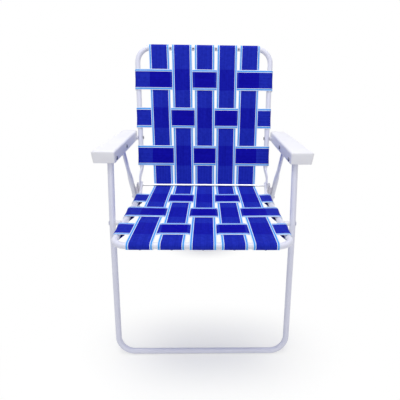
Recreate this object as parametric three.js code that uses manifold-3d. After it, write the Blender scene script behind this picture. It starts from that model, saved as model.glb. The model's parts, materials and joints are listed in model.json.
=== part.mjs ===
// Folding webbed lawn chair: four bent steel tube frames, two moulded armrests, a woven strap seat and back.
// Millimetres and degrees, +Z up. The sitter faces -Y, so +X is the sitter's left.
import * as THREE from 'three';
import { mergeVertices } from 'three/addons/utils/BufferGeometryUtils.js';
import Module from 'manifold-3d';

const wasm = await Module();
wasm.setup();

// Driving dimensions
const clearance = 0.3; // running gap between pieces that touch or turn on each other
const overrun = 5; // how far a cutter runs past the face that it cuts
const tube = { radius: 8, sides: 16, bendStep: 15 };
const blade = {
  thickness: 4.8, width: 22.5, tip: 11.5, straight: 13, rampEnd: 50, kneeRadius: 18,
  flatEnd: 38, blendLength: 22,
};
const pressed = {
  squarenessExponent: 4, roundnessShare: 0.94, tipShares: [0.1, 0.25, 0.5], blendShares: [0, 0.3, 0.7, 1],
};
const strap = {
  width: 63, thickness: 1.2, tail: 9, wrapTurn: 212, wrapSteps: 8, easeSteps: 3, cornerDivisions: 5,
};
const rod = { radius: 3.25, sides: 12, headRadius: 6, headHeight: 2.8, creaseSteps: 4 };
const bolt = {
  radius: 3, sides: 12, headRadius: 5.4, headHeight: 2.4, nutRadius: 5.4, nutHeight: 3.6, domeSteps: 2,
};
const bush = { radius: 6.5, sides: 12 };

const frontLegs = {
  seatBoltHeight: 372, armBoltHeight: 530, lowerLeanAngle: 13, upperLeanAngle: 17.7,
  cornerRadius: 45, bendRadius: 90, endBeyondBolt: 11,
};
const seat = {
  slopeAngle: 3, behindBolt: 251.6, aheadOfBolt: 118.4, rearHalf: 191.5, flare: 16.5,
  cornerRadius: 32, boltSpacer: 13.6, rearRowShare: 0.258, middleRowShare: 0.713, frontRowShare: 0.59,
};
const back = {
  leanAngle: 20.3, length: 426, wider: 6, flare: 11,
  cornerRadius: 45, armBoltUp: 149.7, lowRowShare: 0.395, middleRowShare: 0.237, topRowShare: 0.713,
};
// Each margin of the long straps runs from the side tube's middle to the outer strap's edge
const columns = { leastGap: 1.5, creaseMargin: 29, seatFrontMargin: 31.7, backTopMargin: 35.6 };
const link = {
  thickness: 2.5, width: 16, endSteps: 6, pinDownLeg: 235, shoulderRadius: 5.2,
  innerBush: 3.8, outerBush: 8.2,
};
const rearLegs = {
  boltBehind: 119, boltRise: 4, leanAngle: 28.5, cornerRadius: 45,
  flatThickness: 7.4, flatWidth: 19.5, flatLength: 100, blendLength: 45, endBeyondBolt: 10, wallGap: 0.6,
};
const arm = {
  width: 53.3, wall: 2.7, aboveBolt: 21, belowBolt: 8.5, frontOverhang: 21.5, rearOverhang: 15,
  outerSlant: 3.6, topRadius: 6, bottomRadius: 2.4, planRadius: 9, noseRadius: 7, curveSteps: 4,
  ribWall: 2, ribHeight: 9, ribShares: [0.16, 0.37, 0.58, 0.79], keelShare: 0.48,
};

const colours = { frame: 0xe8ecf8, armrest: 0xf2f2f4, strap: 0x2026a8, bolt: 0xc9c9d2, bush: 0xeeeef2 };

// Materials
function finish(color, roughness, metalness) {
  return () => new THREE.MeshStandardMaterial({ color, roughness, metalness });
}
const enamel = finish(colours.frame, 0.35, 0.1);
const mouldedPlastic = finish(colours.armrest, 0.45, 0);
const webbing = finish(colours.strap, 0.8, 0);
const platedSteel = finish(colours.bolt, 0.3, 0.8);
const nylon = finish(colours.bush, 0.5, 0);

const { clamp, degToRad, lerp, smoothstep } = THREE.MathUtils;
const sides = [{ name: 'left', sign: 1 }, { name: 'right', sign: -1 }];

// Side view: points are (y, z), measured from the middle of the front floor bar
const noPoint = new THREE.Vector2();
const sideDirection = (y, z, lean) => new THREE.Vector2(y, z).rotateAround(noPoint, degToRad(lean));
const pointAlong = (start, direction, distance) => start.clone().addScaledVector(direction, distance);
const lowerLegUp = sideDirection(0, 1, -frontLegs.lowerLeanAngle);
const upperLegUp = sideDirection(0, 1, -frontLegs.upperLeanAngle);

const frontBar = new THREE.Vector2(0, tube.radius);
const seatBolt = pointAlong(frontBar, lowerLegUp, (frontLegs.seatBoltHeight - tube.radius) / lowerLegUp.y);
const upperLegLength = (frontLegs.armBoltHeight - frontLegs.seatBoltHeight) / upperLegUp.y;
const armBolt = pointAlong(seatBolt, upperLegUp, upperLegLength);

// A panel is the seat or the back: s runs away from the hinge, h is the height over the middle of its tubes
const strapHeight = tube.radius + clearance + strap.thickness / 2;
const creaseRadius = rod.radius + clearance + strap.thickness / 2;
const hingeHeight = strapHeight + creaseRadius;
const weaveHeight = (strap.thickness + clearance) / 2;

const seatAlong = sideDirection(-1, 0, -seat.slopeAngle);
const seatUp = new THREE.Vector2(-seatAlong.y, seatAlong.x).negate();
const hinge = pointAlong(pointAlong(seatBolt, seatAlong, -seat.behindBolt), seatUp, hingeHeight);
const backAlong = sideDirection(0, 1, -back.leanAngle);
const backUp = new THREE.Vector2(-backAlong.y, backAlong.x);

// As many long straps as fit side by side at the crease
const creaseSpan = 2 * (seat.rearHalf - columns.creaseMargin) - strap.width;
const columnCount = 1 + Math.floor(creaseSpan / (strap.width + columns.leastGap));
const columnPitch = (half, margin) => (2 * (half - margin) - strap.width) / (columnCount - 1);
const creasePitch = columnPitch(seat.rearHalf, columns.creaseMargin);

// A cross strap's middle, a share of the way along the room that it has between two places
function rowBetween(from, to, share) {
  return lerp(from + strap.width / 2, to - strap.width / 2, share);
}

const rowStep = strap.width + clearance;
const boltRoom = bush.radius + clearance;

function seatRows(length) {
  const boltFrom = seat.behindBolt - boltRoom;
  const rear = rowBetween(blade.rampEnd, boltFrom - rowStep, seat.rearRowShare);
  const middle = rowBetween(rear + rowStep - strap.width / 2, boltFrom, seat.middleRowShare);
  const front = rowBetween(seat.behindBolt + boltRoom, length - seat.cornerRadius, seat.frontRowShare);
  return [rear, middle, front];
}

function backRowsUp(length) {
  const corner = length - back.cornerRadius;
  const low = rowBetween(blade.rampEnd, back.armBoltUp - boltRoom, back.lowRowShare);
  const middle = rowBetween(back.armBoltUp + boltRoom, corner - rowStep, back.middleRowShare);
  const top = rowBetween(middle + rowStep - strap.width / 2, corner, back.topRowShare);
  return [low, middle, top];
}

function panel(along, up, length, rearHalf, flare, cornerRadius, endMargin, rows) {
  return {
    along, up, length, cornerRadius,
    halfAt: (s) => rearHalf + flare * s / length,
    // How far the end bar has curved back towards the hinge at a given x
    setback: (x) => {
      const intoCorner = clamp(Math.abs(x) - (rearHalf + flare - cornerRadius), 0, cornerRadius);
      return cornerRadius - Math.sqrt(cornerRadius ** 2 - intoCorner ** 2);
    },
    pitchAt: (s) => lerp(creasePitch, columnPitch(rearHalf + flare, endMargin), s / length),
    rows: rows(length),
    at: (s, h) => pointAlong(pointAlong(hinge, along, s), up, h - hingeHeight),
  };
}

const seatPanel = panel(seatAlong, seatUp, seat.behindBolt + seat.aheadOfBolt,
  seat.rearHalf, seat.flare, seat.cornerRadius, columns.seatFrontMargin, seatRows);
const backPanel = panel(backAlong, backUp, back.length,
  seat.rearHalf + back.wider, back.flare, back.cornerRadius, columns.backTopMargin, backRowsUp);
const backBolt = backPanel.at(back.armBoltUp, 0);

// The armrest runs straight from the front leg bolt to the back bolt
const armRun = backBolt.clone().sub(armBolt);
const armAlong = armRun.clone().normalize();
const armUp = new THREE.Vector2(-armAlong.y, armAlong.x);
const rearLegBolt = pointAlong(pointAlong(armBolt, armAlong, rearLegs.boltBehind), armUp, rearLegs.boltRise);
const rearLegDown = sideDirection(0, -1, rearLegs.leanAngle);
const rearLegLength = (rearLegBolt.y - tube.radius) / -rearLegDown.y;
const rearBar = pointAlong(rearLegBolt, rearLegDown, rearLegLength);
const linkPin = pointAlong(rearLegBolt, rearLegDown, link.pinDownLeg);

// Half widths, worked out from the seat outwards
const seatHalfAtBolt = seatPanel.halfAt(seat.behindBolt);
const frontLegHalf = seatHalfAtBolt + 2 * tube.radius + 2 * clearance + seat.boltSpacer;
const seatBladeHalf = seat.rearHalf + tube.radius - blade.thickness / 2;
const backBladeHalf = seatBladeHalf + blade.thickness + clearance;
const backBladeOuter = backBladeHalf + blade.thickness / 2;
const linkInner = backBladeOuter + 2 * clearance + link.innerBush;
const linkFace = linkInner - clearance;
const linkOuter = linkInner + link.thickness;
const rodHeadOuter = linkOuter + clearance + rod.headHeight;
const armInner = frontLegHalf - tube.radius - clearance - arm.wall;
const rearLegTopHalf = armInner + arm.wall + rearLegs.wallGap + rearLegs.flatThickness / 2;
const rearLegPinHalf = linkOuter + 2 * clearance + link.outerBush + tube.radius;
const rearLegHalfAt = (distance) => lerp(rearLegTopHalf, rearLegPinHalf, distance / link.pinDownLeg);

// Solids and cuts
function solidOf(geometry) {
  const bare = geometry.clone();
  bare.deleteAttribute('normal');
  bare.deleteAttribute('uv');
  const merged = mergeVertices(bare);
  const vertProperties = new Float32Array(merged.attributes.position.array);
  const triVerts = new Uint32Array(merged.index.array);
  return new wasm.Manifold(new wasm.Mesh({ numProp: 3, vertProperties, triVerts }));
}

function geometryOf(solid) {
  const mesh = solid.getMesh();
  const geometry = new THREE.BufferGeometry();
  geometry.setAttribute('position', new THREE.BufferAttribute(new Float32Array(mesh.vertProperties), 3));
  geometry.setIndex(new THREE.BufferAttribute(new Uint32Array(mesh.triVerts), 1));
  geometry.computeVertexNormals();
  return geometry;
}

// A round cutter or pin along X, from one x to another, round a side-view point
function crossBar(point, fromX, toX, radius, facets) {
  const bar = new THREE.CylinderGeometry(radius, radius, Math.abs(toX - fromX), facets);
  bar.rotateZ(Math.PI / 2);
  return bar.translate((fromX + toX) / 2, point.x, point.y);
}

function drilled(geometry, holes) {
  let solid = solidOf(geometry);
  for (const hole of holes) {
    solid = solid.subtract(solidOf(hole));
  }
  return geometryOf(solid);
}

// Both cheeks of a frame drilled for a bolt: the hole runs right through the tube at that half width
function boltHoles(point, half, reach, radius) {
  const hole = (sign) => crossBar(point, sign * (half - reach), sign * (half + reach), radius, bolt.sides);
  return sides.map(({ sign }) => hole(sign));
}

// Tubes: a ring of points carried along a bent line
function bentLine(corners) {
  const points = [corners[0].point];
  for (let i = 1; i < corners.length - 1; i += 1) {
    const { point, radius } = corners[i];
    const arriving = point.clone().sub(corners[i - 1].point).normalize();
    const leaving = corners[i + 1].point.clone().sub(point).normalize();
    const turn = arriving.angleTo(leaving);
    const start = point.clone().addScaledVector(arriving, -radius * Math.tan(turn / 2));
    const inward = leaving.clone().addScaledVector(arriving, -leaving.dot(arriving)).normalize();
    const steps = Math.max(2, Math.round(turn / degToRad(tube.bendStep)));
    for (let k = 0; k <= steps; k += 1) {
      const angle = turn * k / steps;
      const onArc = start.clone().addScaledVector(arriving, radius * Math.sin(angle));
      points.push(onArc.addScaledVector(inward, radius * (1 - Math.cos(angle))));
    }
  }
  points.push(corners[corners.length - 1].point);
  return points;
}

// Extra stations at given distances from both ends of a line
function withStations(points, marks) {
  const reach = [0];
  for (let i = 1; i < points.length; i += 1) {
    reach.push(reach[i - 1] + points[i].distanceTo(points[i - 1]));
  }
  const total = reach[reach.length - 1];
  const wanted = marks.flatMap((mark) => [mark, total - mark]);
  const stations = points.map((point, i) => ({ point, at: reach[i] }));
  for (const at of wanted) {
    if (stations.some((station) => Math.abs(station.at - at) < clearance)) continue;
    const i = reach.findIndex((distance) => distance > at);
    const share = (at - reach[i - 1]) / (reach[i] - reach[i - 1]);
    stations.push({ point: points[i - 1].clone().lerp(points[i], share), at });
  }
  stations.sort((a, b) => a.at - b.at);
  return stations.map((station) => ({ ...station, toEnd: Math.min(station.at, total - station.at) }));
}

// Rounded oblong ring: width lies in the side view, thickness lies along X at a frame's free ends
function ringPoints(station, tangent, across, section, roll) {
  const wide = across.clone().cross(tangent);
  const ring = [];
  for (let k = 0; k < tube.sides; k += 1) {
    const angle = 2 * Math.PI * (k + 0.5) / tube.sides + roll;
    const cos = Math.cos(angle);
    const sin = Math.sin(angle);
    const flat = 2 / section.squareness;
    const u = section.width / 2 * Math.sign(cos) * Math.abs(cos) ** flat;
    const v = section.thickness / 2 * Math.sign(sin) * Math.abs(sin) ** flat;
    ring.push(station.point.clone().addScaledVector(wide, u).addScaledVector(across, v));
  }
  return ring;
}

function skin(rings) {
  const count = rings[0].length;
  const points = rings.flat();
  const faces = [];
  for (let i = 0; i + 1 < rings.length; i += 1) {
    for (let k = 0; k < count; k += 1) {
      const a = i * count + k;
      const b = i * count + (k + 1) % count;
      faces.push(a, b, a + count, b, b + count, a + count);
    }
  }
  for (const end of [0, rings.length - 1]) {
    const sum = new THREE.Vector3();
    rings[end].forEach((point) => sum.add(point));
    points.push(sum.divideScalar(count));
    for (let k = 0; k < count; k += 1) {
      const a = end * count + k;
      const b = end * count + (k + 1) % count;
      faces.push(...(end > 0 ? [a, b] : [b, a]), points.length - 1);
    }
  }
  const geometry = new THREE.BufferGeometry().setFromPoints(points);
  geometry.setIndex(faces);
  return geometry;
}

const roundSection = { width: 2 * tube.radius, thickness: 2 * tube.radius, squareness: 2 };

// A tube end pressed flat: a blade with a rounded tip that grows back into the round tube
function pressedEnd(flat, distance) {
  const share = smoothstep(distance, flat.length, flat.length + flat.blend);
  const full = lerp(flat.width, roundSection.width, share);
  const fromTip = Math.max(0, 1 - 2 * distance / full);
  return {
    width: full * Math.sqrt(1 - pressed.roundnessShare * fromTip ** 2),
    thickness: lerp(flat.thickness, roundSection.thickness, share),
    squareness: lerp(pressed.squarenessExponent, roundSection.squareness, share),
  };
}

function bentTube(corners, flat, roll) {
  const tipMarks = flat ? pressed.tipShares.map((share) => share * flat.width) : [];
  const blendMarks = flat ? pressed.blendShares.map((share) => flat.length + share * flat.blend) : [];
  const stations = withStations(bentLine(corners), [...tipMarks, ...blendMarks]);
  let across = new THREE.Vector3(1, 0, 0);
  const rings = stations.map((station, i) => {
    const before = stations[Math.max(0, i - 1)].point;
    const after = stations[Math.min(stations.length - 1, i + 1)].point;
    const arriving = station.point.clone().sub(before).normalize();
    const leaving = after.clone().sub(station.point).normalize();
    const tangent = arriving.add(leaving).normalize();
    across = across.clone().addScaledVector(tangent, -across.dot(tangent)).normalize();
    const section = flat ? pressedEnd(flat, station.toEnd) : roundSection;
    return ringPoints(station, tangent, across, section, roll);
  });
  return skin(rings);
}

// One side's corners (x, then a side-view point) and the same corners on the other side
function bothSides(corners) {
  const place = (sign) => corners.map(({ x, point, radius }) => (
    { point: new THREE.Vector3(sign * x, point.x, point.y), radius }));
  return [...place(-1), ...place(1).reverse()];
}

function frontFrameGeometry() {
  const corners = bothSides([
    { x: frontLegHalf, point: pointAlong(armBolt, upperLegUp, frontLegs.endBeyondBolt), radius: 0 },
    { x: frontLegHalf, point: seatBolt, radius: frontLegs.bendRadius },
    { x: frontLegHalf, point: frontBar, radius: frontLegs.cornerRadius },
  ]);
  const holeRadius = bolt.radius + clearance;
  const reach = tube.radius + overrun;
  return drilled(bentTube(corners, null, degToRad(frontLegs.lowerLeanAngle)), [
    ...boltHoles(armBolt, frontLegHalf, reach, holeRadius),
    ...boltHoles(seatBolt, frontLegHalf, reach, holeRadius),
  ]);
}

function rearFrameGeometry() {
  const topHalf = rearLegHalfAt(-rearLegs.endBeyondBolt);
  const floorHalf = rearLegHalfAt(rearLegLength);
  const corners = bothSides([
    { x: topHalf, point: pointAlong(rearLegBolt, rearLegDown, -rearLegs.endBeyondBolt), radius: 0 },
    { x: floorHalf, point: rearBar, radius: rearLegs.cornerRadius },
  ]);
  const flat = {
    width: rearLegs.flatWidth, thickness: rearLegs.flatThickness,
    length: rearLegs.endBeyondBolt + rearLegs.flatLength, blend: rearLegs.blendLength,
  };
  const holeRadius = bolt.radius + clearance;
  const reach = tube.radius + overrun;
  return drilled(bentTube(corners, flat, -degToRad(rearLegs.leanAngle)), [
    ...boltHoles(rearLegBolt, rearLegTopHalf, reach, holeRadius),
    ...boltHoles(linkPin, rearLegPinHalf, reach, holeRadius),
  ]);
}

// A panel frame rises from its tube line to the hinge rod in a flat blade at each free end
function panelFrameGeometry(shape, bladeHalf, boltAt) {
  const corners = bothSides([
    { x: bladeHalf, point: shape.at(-blade.tip, hingeHeight), radius: 0 },
    { x: bladeHalf, point: shape.at(blade.straight, hingeHeight), radius: blade.kneeRadius },
    { x: shape.halfAt(blade.rampEnd), point: shape.at(blade.rampEnd, 0), radius: blade.kneeRadius },
    { x: shape.halfAt(shape.length), point: shape.at(shape.length, 0), radius: shape.cornerRadius },
  ]);
  const flat = {
    width: blade.width, thickness: blade.thickness,
    length: blade.tip + blade.flatEnd, blend: blade.blendLength,
  };
  const reach = tube.radius + overrun;
  return drilled(bentTube(corners, flat, 0), [
    ...boltHoles(hinge, bladeHalf, blade.thickness, rod.radius + clearance),
    ...boltHoles(shape.at(boltAt, 0), shape.halfAt(boltAt), reach, bolt.radius + clearance),
  ]);
}

// Straps: a ribbon drawn edge on, pushed out by the strap's width
function ribbon(centres, steps) {
  const edge = (offset) => centres.map((centre, i) => {
    const before = centres[Math.max(0, i - 1)];
    const after = centres[Math.min(centres.length - 1, i + 1)];
    const heading = after.clone().sub(before).normalize();
    return new THREE.Vector2(centre.x - heading.y * offset, centre.y + heading.x * offset);
  });
  const outline = new THREE.Shape([...edge(strap.thickness / 2), ...edge(-strap.thickness / 2).reverse()]);
  return new THREE.ExtrudeGeometry(outline, { depth: strap.width, steps, bevelEnabled: false });
}

// Points round a bar: from the strap's tail, up round the bar, to the top where it leaves for the middle
function wrapPoints(barAt, outward) {
  const steps = strap.wrapSteps;
  const points = [];
  for (let k = 0; k <= steps; k += 1) {
    const angle = degToRad(90 + strap.wrapTurn * (1 - k / steps));
    const onBar = new THREE.Vector2(Math.cos(angle), Math.sin(angle)).multiplyScalar(strapHeight);
    if (k === 0) {
      const tail = new THREE.Vector2(-Math.sin(angle), Math.cos(angle)).multiplyScalar(strap.tail);
      points.push(new THREE.Vector2(barAt - outward * (onBar.x + tail.x), onBar.y + tail.y));
    }
    points.push(new THREE.Vector2(barAt - outward * onBar.x, onBar.y));
  }
  return points;
}

// Flat stretches over and under the crossing straps, with a short eased step in each gap between them
function weavePoints(crossings) {
  const steps = strap.easeSteps;
  const points = [];
  crossings.forEach(({ from, to, height }, i) => {
    if (i > 0) {
      const last = crossings[i - 1];
      for (let k = 1; k < steps; k += 1) {
        const share = k / steps;
        const rise = lerp(last.height, height, smoothstep(share, 0, 1));
        points.push(new THREE.Vector2(lerp(last.to, from, share), strapHeight + rise));
      }
    }
    points.push(new THREE.Vector2(from, strapHeight + height));
    points.push(new THREE.Vector2(to, strapHeight + height));
  });
  return points;
}

// Rows and columns are numbered from 0, rows from the top of the back; like numbers put the row on top
const rowOnTop = (row, column) => (row + column) % 2 === 0;

function rowGeometry(shape, place, row) {
  const half = shape.halfAt(place);
  const pitch = shape.pitchAt(place);
  const middle = (columnCount - 1) / 2;
  const margin = strap.width / 2 + clearance;
  const crossings = Array.from({ length: columnCount }, (_, column) => ({
    from: (column - middle) * pitch - margin,
    to: (column - middle) * pitch + margin,
    height: rowOnTop(row, column) ? weaveHeight : -weaveHeight,
  }));
  const right = wrapPoints(-half, -1);
  const left = wrapPoints(half, 1).reverse();
  const geometry = ribbon([...right, ...weavePoints(crossings), ...left], 1);
  // The side tubes spread, so the strap's ends follow them
  const spread = (shape.halfAt(place + strap.width) - half) / strap.width;
  const along3 = new THREE.Vector3(0, shape.along.x, shape.along.y);
  const up3 = new THREE.Vector3(0, shape.up.x, shape.up.y);
  const position = geometry.attributes.position;
  for (let i = 0; i < position.count; i += 1) {
    const x = position.getX(i);
    const offset = position.getZ(i) - strap.width / 2;
    const shift = Math.abs(x) > half - 2 * strapHeight ? Math.sign(x) * spread * offset : 0;
    const base = shape.at(place + offset, position.getY(i));
    position.setXYZ(i, x + shift, base.x, base.y);
  }
  const handed = new THREE.Vector3(1, 0, 0).cross(up3).dot(along3);
  return handed > 0 ? geometry : insideOut(geometry);
}

function insideOut(geometry) {
  const bare = geometry.clone();
  bare.deleteAttribute('normal');
  bare.deleteAttribute('uv');
  const merged = mergeVertices(bare);
  const index = merged.index.array;
  for (let i = 0; i < index.length; i += 3) {
    [index[i], index[i + 1]] = [index[i + 1], index[i]];
  }
  return merged;
}

// Half of a column strap: round the hinge rod, over and under its panel's rows, round the end bar
function columnGeometry(shape, column, rowNumbers) {
  const middle = (columnCount - 1) / 2;
  const margin = strap.width / 2 + clearance;
  const openAngle = seatPanel.along.angleTo(backPanel.along);
  const halfWrap = (Math.PI - openAngle) / 2 - clearance / (2 * (rod.radius + clearance));
  const steps = rod.creaseSteps;
  const crease = [];
  for (let k = 0; k < steps; k += 1) {
    const angle = halfWrap * (1 - k / steps);
    const sideways = -creaseRadius * Math.sin(angle);
    crease.push(new THREE.Vector2(sideways, hingeHeight - creaseRadius * Math.cos(angle)));
  }
  crease.push(new THREE.Vector2(0, strapHeight));
  const crossings = rowNumbers.map((row, i) => ({
    from: shape.rows[i] - margin,
    to: shape.rows[i] + margin,
    height: rowOnTop(row, column) ? -weaveHeight : weaveHeight,
  }));
  const centres = [...crease, ...weavePoints(crossings), ...wrapPoints(shape.length, 1).reverse()];
  // An outer strap reaches the end bar's corners, so it is divided across its width to follow them
  const outerEdge = Math.abs(column - middle) * shape.pitchAt(shape.length) + strap.width / 2;
  const geometry = ribbon(centres, shape.setback(outerEdge) > clearance ? strap.cornerDivisions : 1);
  const position = geometry.attributes.position;
  for (let i = 0; i < position.count; i += 1) {
    const s = position.getX(i);
    const x = position.getZ(i) - strap.width / 2 + (column - middle) * shape.pitchAt(s);
    const onBar = smoothstep(s, shape.length - shape.cornerRadius, shape.length - 2 * strapHeight);
    const base = shape.at(s - onBar * shape.setback(x), position.getY(i));
    position.setXYZ(i, x, base.x, base.y);
  }
  const along3 = new THREE.Vector3(0, shape.along.x, shape.along.y);
  const up3 = new THREE.Vector3(0, shape.up.x, shape.up.y);
  return along3.cross(up3).x > 0 ? geometry : insideOut(geometry);
}

// Armrest: a moulded channel, open below. x runs out from its inner face, y back from the front leg bolt
function roundedShape(corners) {
  const shape = new THREE.Shape();
  corners.forEach(({ x, y, radius }, i) => {
    const here = new THREE.Vector2(x, y);
    const previous = corners[(i + corners.length - 1) % corners.length];
    const next = corners[(i + 1) % corners.length];
    const toPrevious = new THREE.Vector2(previous.x, previous.y).sub(here).setLength(radius);
    const toNext = new THREE.Vector2(next.x, next.y).sub(here).setLength(radius);
    const start = here.clone().add(toPrevious);
    const end = here.clone().add(toNext);
    if (i === 0) shape.moveTo(start.x, start.y);
    else shape.lineTo(start.x, start.y);
    if (radius > 0) shape.quadraticCurveTo(here.x, here.y, end.x, end.y);
  });
  shape.closePath();
  return shape;
}

const armLength = arm.frontOverhang + armRun.length() + arm.rearOverhang;

function pushed(shape, depth, curveSegments) {
  return new THREE.ExtrudeGeometry(shape, { depth, bevelEnabled: false, curveSegments });
}

// A section in x and z, pushed along y from one place to another
function pushedAlongArm(shape, fromY, toY) {
  return pushed(shape, toY - fromY, arm.curveSteps).rotateX(Math.PI / 2).translate(0, toY, 0);
}

function armrestGeometry(sign) {
  const top = arm.aboveBolt;
  const bottom = -arm.belowBolt;
  const front = -arm.frontOverhang;
  const rear = front + armLength;
  const outside = [
    { x: 0, y: bottom, radius: arm.bottomRadius },
    { x: arm.width - arm.outerSlant, y: bottom, radius: arm.bottomRadius },
    { x: arm.width, y: top, radius: arm.topRadius },
    { x: 0, y: top, radius: arm.topRadius },
  ];
  const inside = [
    { x: arm.wall, y: bottom - overrun, radius: 0 },
    { x: arm.width - arm.outerSlant - arm.wall, y: bottom - overrun, radius: 0 },
    { x: arm.width - arm.wall, y: top - arm.wall, radius: arm.topRadius - arm.wall },
    { x: arm.wall, y: top - arm.wall, radius: arm.topRadius - arm.wall },
  ];
  const plan = [
    { x: 0, y: front, radius: arm.planRadius },
    { x: arm.width, y: front, radius: arm.planRadius },
    { x: arm.width, y: rear, radius: arm.planRadius },
    { x: 0, y: rear, radius: arm.planRadius },
  ];
  const profile = [
    { x: front, y: bottom, radius: arm.bottomRadius },
    { x: rear, y: bottom, radius: arm.bottomRadius },
    { x: rear, y: top, radius: arm.noseRadius },
    { x: front, y: top, radius: arm.noseRadius },
  ];
  const planBlock = pushed(roundedShape(plan), top - bottom, arm.curveSteps).translate(0, 0, bottom);
  const profileBlock = pushed(roundedShape(profile), arm.width, arm.curveSteps);
  profileBlock.applyMatrix4(new THREE.Matrix4().makeBasis(
    new THREE.Vector3(0, 1, 0), new THREE.Vector3(0, 0, 1), new THREE.Vector3(1, 0, 0)));
  let solid = solidOf(pushedAlongArm(roundedShape(outside), front, rear))
    .intersect(solidOf(planBlock))
    .intersect(solidOf(profileBlock))
    .subtract(solidOf(pushedAlongArm(roundedShape(inside), front + arm.wall, rear - arm.wall)));
  // A keel clear of the legs, and ribs from it to the outer wall, stiffen the top from below
  const keelAt = arm.width * arm.keelShare;
  const ribZ = top - arm.wall - arm.ribHeight / 2;
  const keel = new THREE.BoxGeometry(arm.ribWall, armLength - arm.wall, arm.ribHeight + arm.wall);
  solid = solid.add(solidOf(keel.translate(keelAt, (front + rear) / 2, ribZ + arm.wall / 2)));
  const ribLength = arm.width - arm.outerSlant - keelAt;
  for (const share of arm.ribShares) {
    const rib = new THREE.BoxGeometry(ribLength, arm.ribWall, arm.ribHeight + arm.wall);
    rib.translate(keelAt + ribLength / 2, front + share * armLength, ribZ + arm.wall / 2);
    solid = solid.add(solidOf(rib));
  }
  const holes = [
    new THREE.Vector2(0, 0),
    new THREE.Vector2(rearLegs.boltBehind, rearLegs.boltRise),
    new THREE.Vector2(armRun.length(), 0),
  ];
  for (const hole of holes) {
    const cutter = crossBar(hole, -overrun, arm.wall + overrun, bolt.radius + clearance, bolt.sides);
    solid = solid.subtract(solidOf(cutter));
  }
  const geometry = geometryOf(solid);
  return sign > 0 ? geometry : insideOut(geometry.scale(-1, 1, 1));
}

// Turned pieces: pairs of radius and distance along the axis, laid along X from x, towards +X or -X
function turned(profile, facets, direction, x, point) {
  const outline = profile.map(([radius, along]) => new THREE.Vector2(radius, along));
  const geometry = new THREE.LatheGeometry(outline, facets);
  geometry.rotateZ(-direction * Math.PI / 2);
  return geometry.translate(x, point.x, point.y);
}

// Dome points from the axis to the rim, and from the rim back to the axis
function dome(radius, height, base, outward) {
  return Array.from({ length: bolt.domeSteps + 1 }, (_, k) => {
    const angle = Math.PI / 2 * k / bolt.domeSteps;
    return [radius * Math.sin(angle), base + outward * height * Math.cos(angle)];
  });
}

// A bolt from inner face to outer face, with a domed head inside and a domed nut outside
function boltGeometry(sign, point, innerX, outerX) {
  const grip = outerX - innerX;
  const profile = [
    ...dome(bolt.headRadius, bolt.headHeight, 0, -1),
    [bolt.radius, 0], [bolt.radius, grip],
    ...dome(bolt.nutRadius, bolt.nutHeight, grip, 1).reverse(),
  ];
  return turned(profile, bolt.sides, sign, sign * innerX, point);
}

// A stud has one domed end and one plain end, which meets another piece's end at an open pivot
function studGeometry(sign, point, domeFace, plainEnd, domeRadius, domeHeight) {
  const reach = Math.abs(plainEnd - domeFace);
  const shank = [[bolt.radius, 0], [bolt.radius, reach], [0, reach]];
  const profile = [...dome(domeRadius, domeHeight, 0, -1), ...shank];
  return turned(profile, bolt.sides, plainEnd > domeFace ? sign : -sign, sign * domeFace, point);
}

function headedStud(sign, point, headFace, plainEnd) {
  return studGeometry(sign, point, headFace, plainEnd, bolt.headRadius, bolt.headHeight);
}

function nutStud(sign, point, nutFace, plainEnd) {
  return studGeometry(sign, point, nutFace, plainEnd, bolt.nutRadius, bolt.nutHeight);
}

function bushGeometry(sign, point, innerX, outerX, bore) {
  const length = outerX - innerX;
  const inner = bore + clearance;
  const profile = [[inner, 0], [bush.radius, 0], [bush.radius, length], [inner, length], [inner, 0]];
  return turned(profile, bush.sides, sign, sign * innerX, point);
}

// The rivet in a link's lower eye has a shoulder as long as the rod's head is high, so the bush clears both
function linkRivetGeometry(sign) {
  const eye = linkOuter + clearance - linkFace;
  const end = rodHeadOuter - linkFace;
  const shank = [[bolt.radius, 0], [bolt.radius, eye]];
  const shoulder = [[link.shoulderRadius, eye], [link.shoulderRadius, end], [0, end]];
  const profile = [...dome(bolt.headRadius, bolt.headHeight, 0, -1), ...shank, ...shoulder];
  return turned(profile, bolt.sides, sign, sign * linkFace, linkPin);
}

function linkGeometry(sign) {
  const run = linkPin.clone().sub(hinge);
  const radius = link.width / 2;
  const outline = new THREE.Shape();
  outline.absarc(0, 0, radius, Math.PI / 2, -Math.PI / 2, false);
  outline.absarc(run.length(), 0, radius, -Math.PI / 2, Math.PI / 2, false);
  outline.closePath();
  const hingeHole = new THREE.Path().absarc(0, 0, rod.radius + clearance, 0, 2 * Math.PI, true);
  const pinHole = new THREE.Path().absarc(run.length(), 0, bolt.radius + clearance, 0, 2 * Math.PI, true);
  outline.holes.push(hingeHole, pinHole);
  const plate = pushed(outline, link.thickness, link.endSteps);
  const alongLink = new THREE.Vector3(0, run.x, run.y).normalize();
  const outwards = new THREE.Vector3(1, 0, 0);
  plate.applyMatrix4(new THREE.Matrix4().makeBasis(alongLink, outwards.clone().cross(alongLink), outwards));
  return plate.translate(sign > 0 ? linkInner : -linkOuter, hinge.x, hinge.y);
}

// The hinge rod: the axle of seat, back and links, with a head past each link
function hingeRodGeometry() {
  const half = linkOuter + clearance;
  const profile = [
    ...dome(rod.headRadius, rod.headHeight, -half, -1),
    [rod.radius, -half], [rod.radius, half],
    ...dome(rod.headRadius, rod.headHeight, half, 1).reverse(),
  ];
  return turned(profile, rod.sides, 1, 0, hinge);
}

// Assembly
const chair = new THREE.Group();

function add(name, geometry, material) {
  const mesh = new THREE.Mesh(geometry, material());
  mesh.name = name;
  chair.add(mesh);
  return mesh;
}

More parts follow.
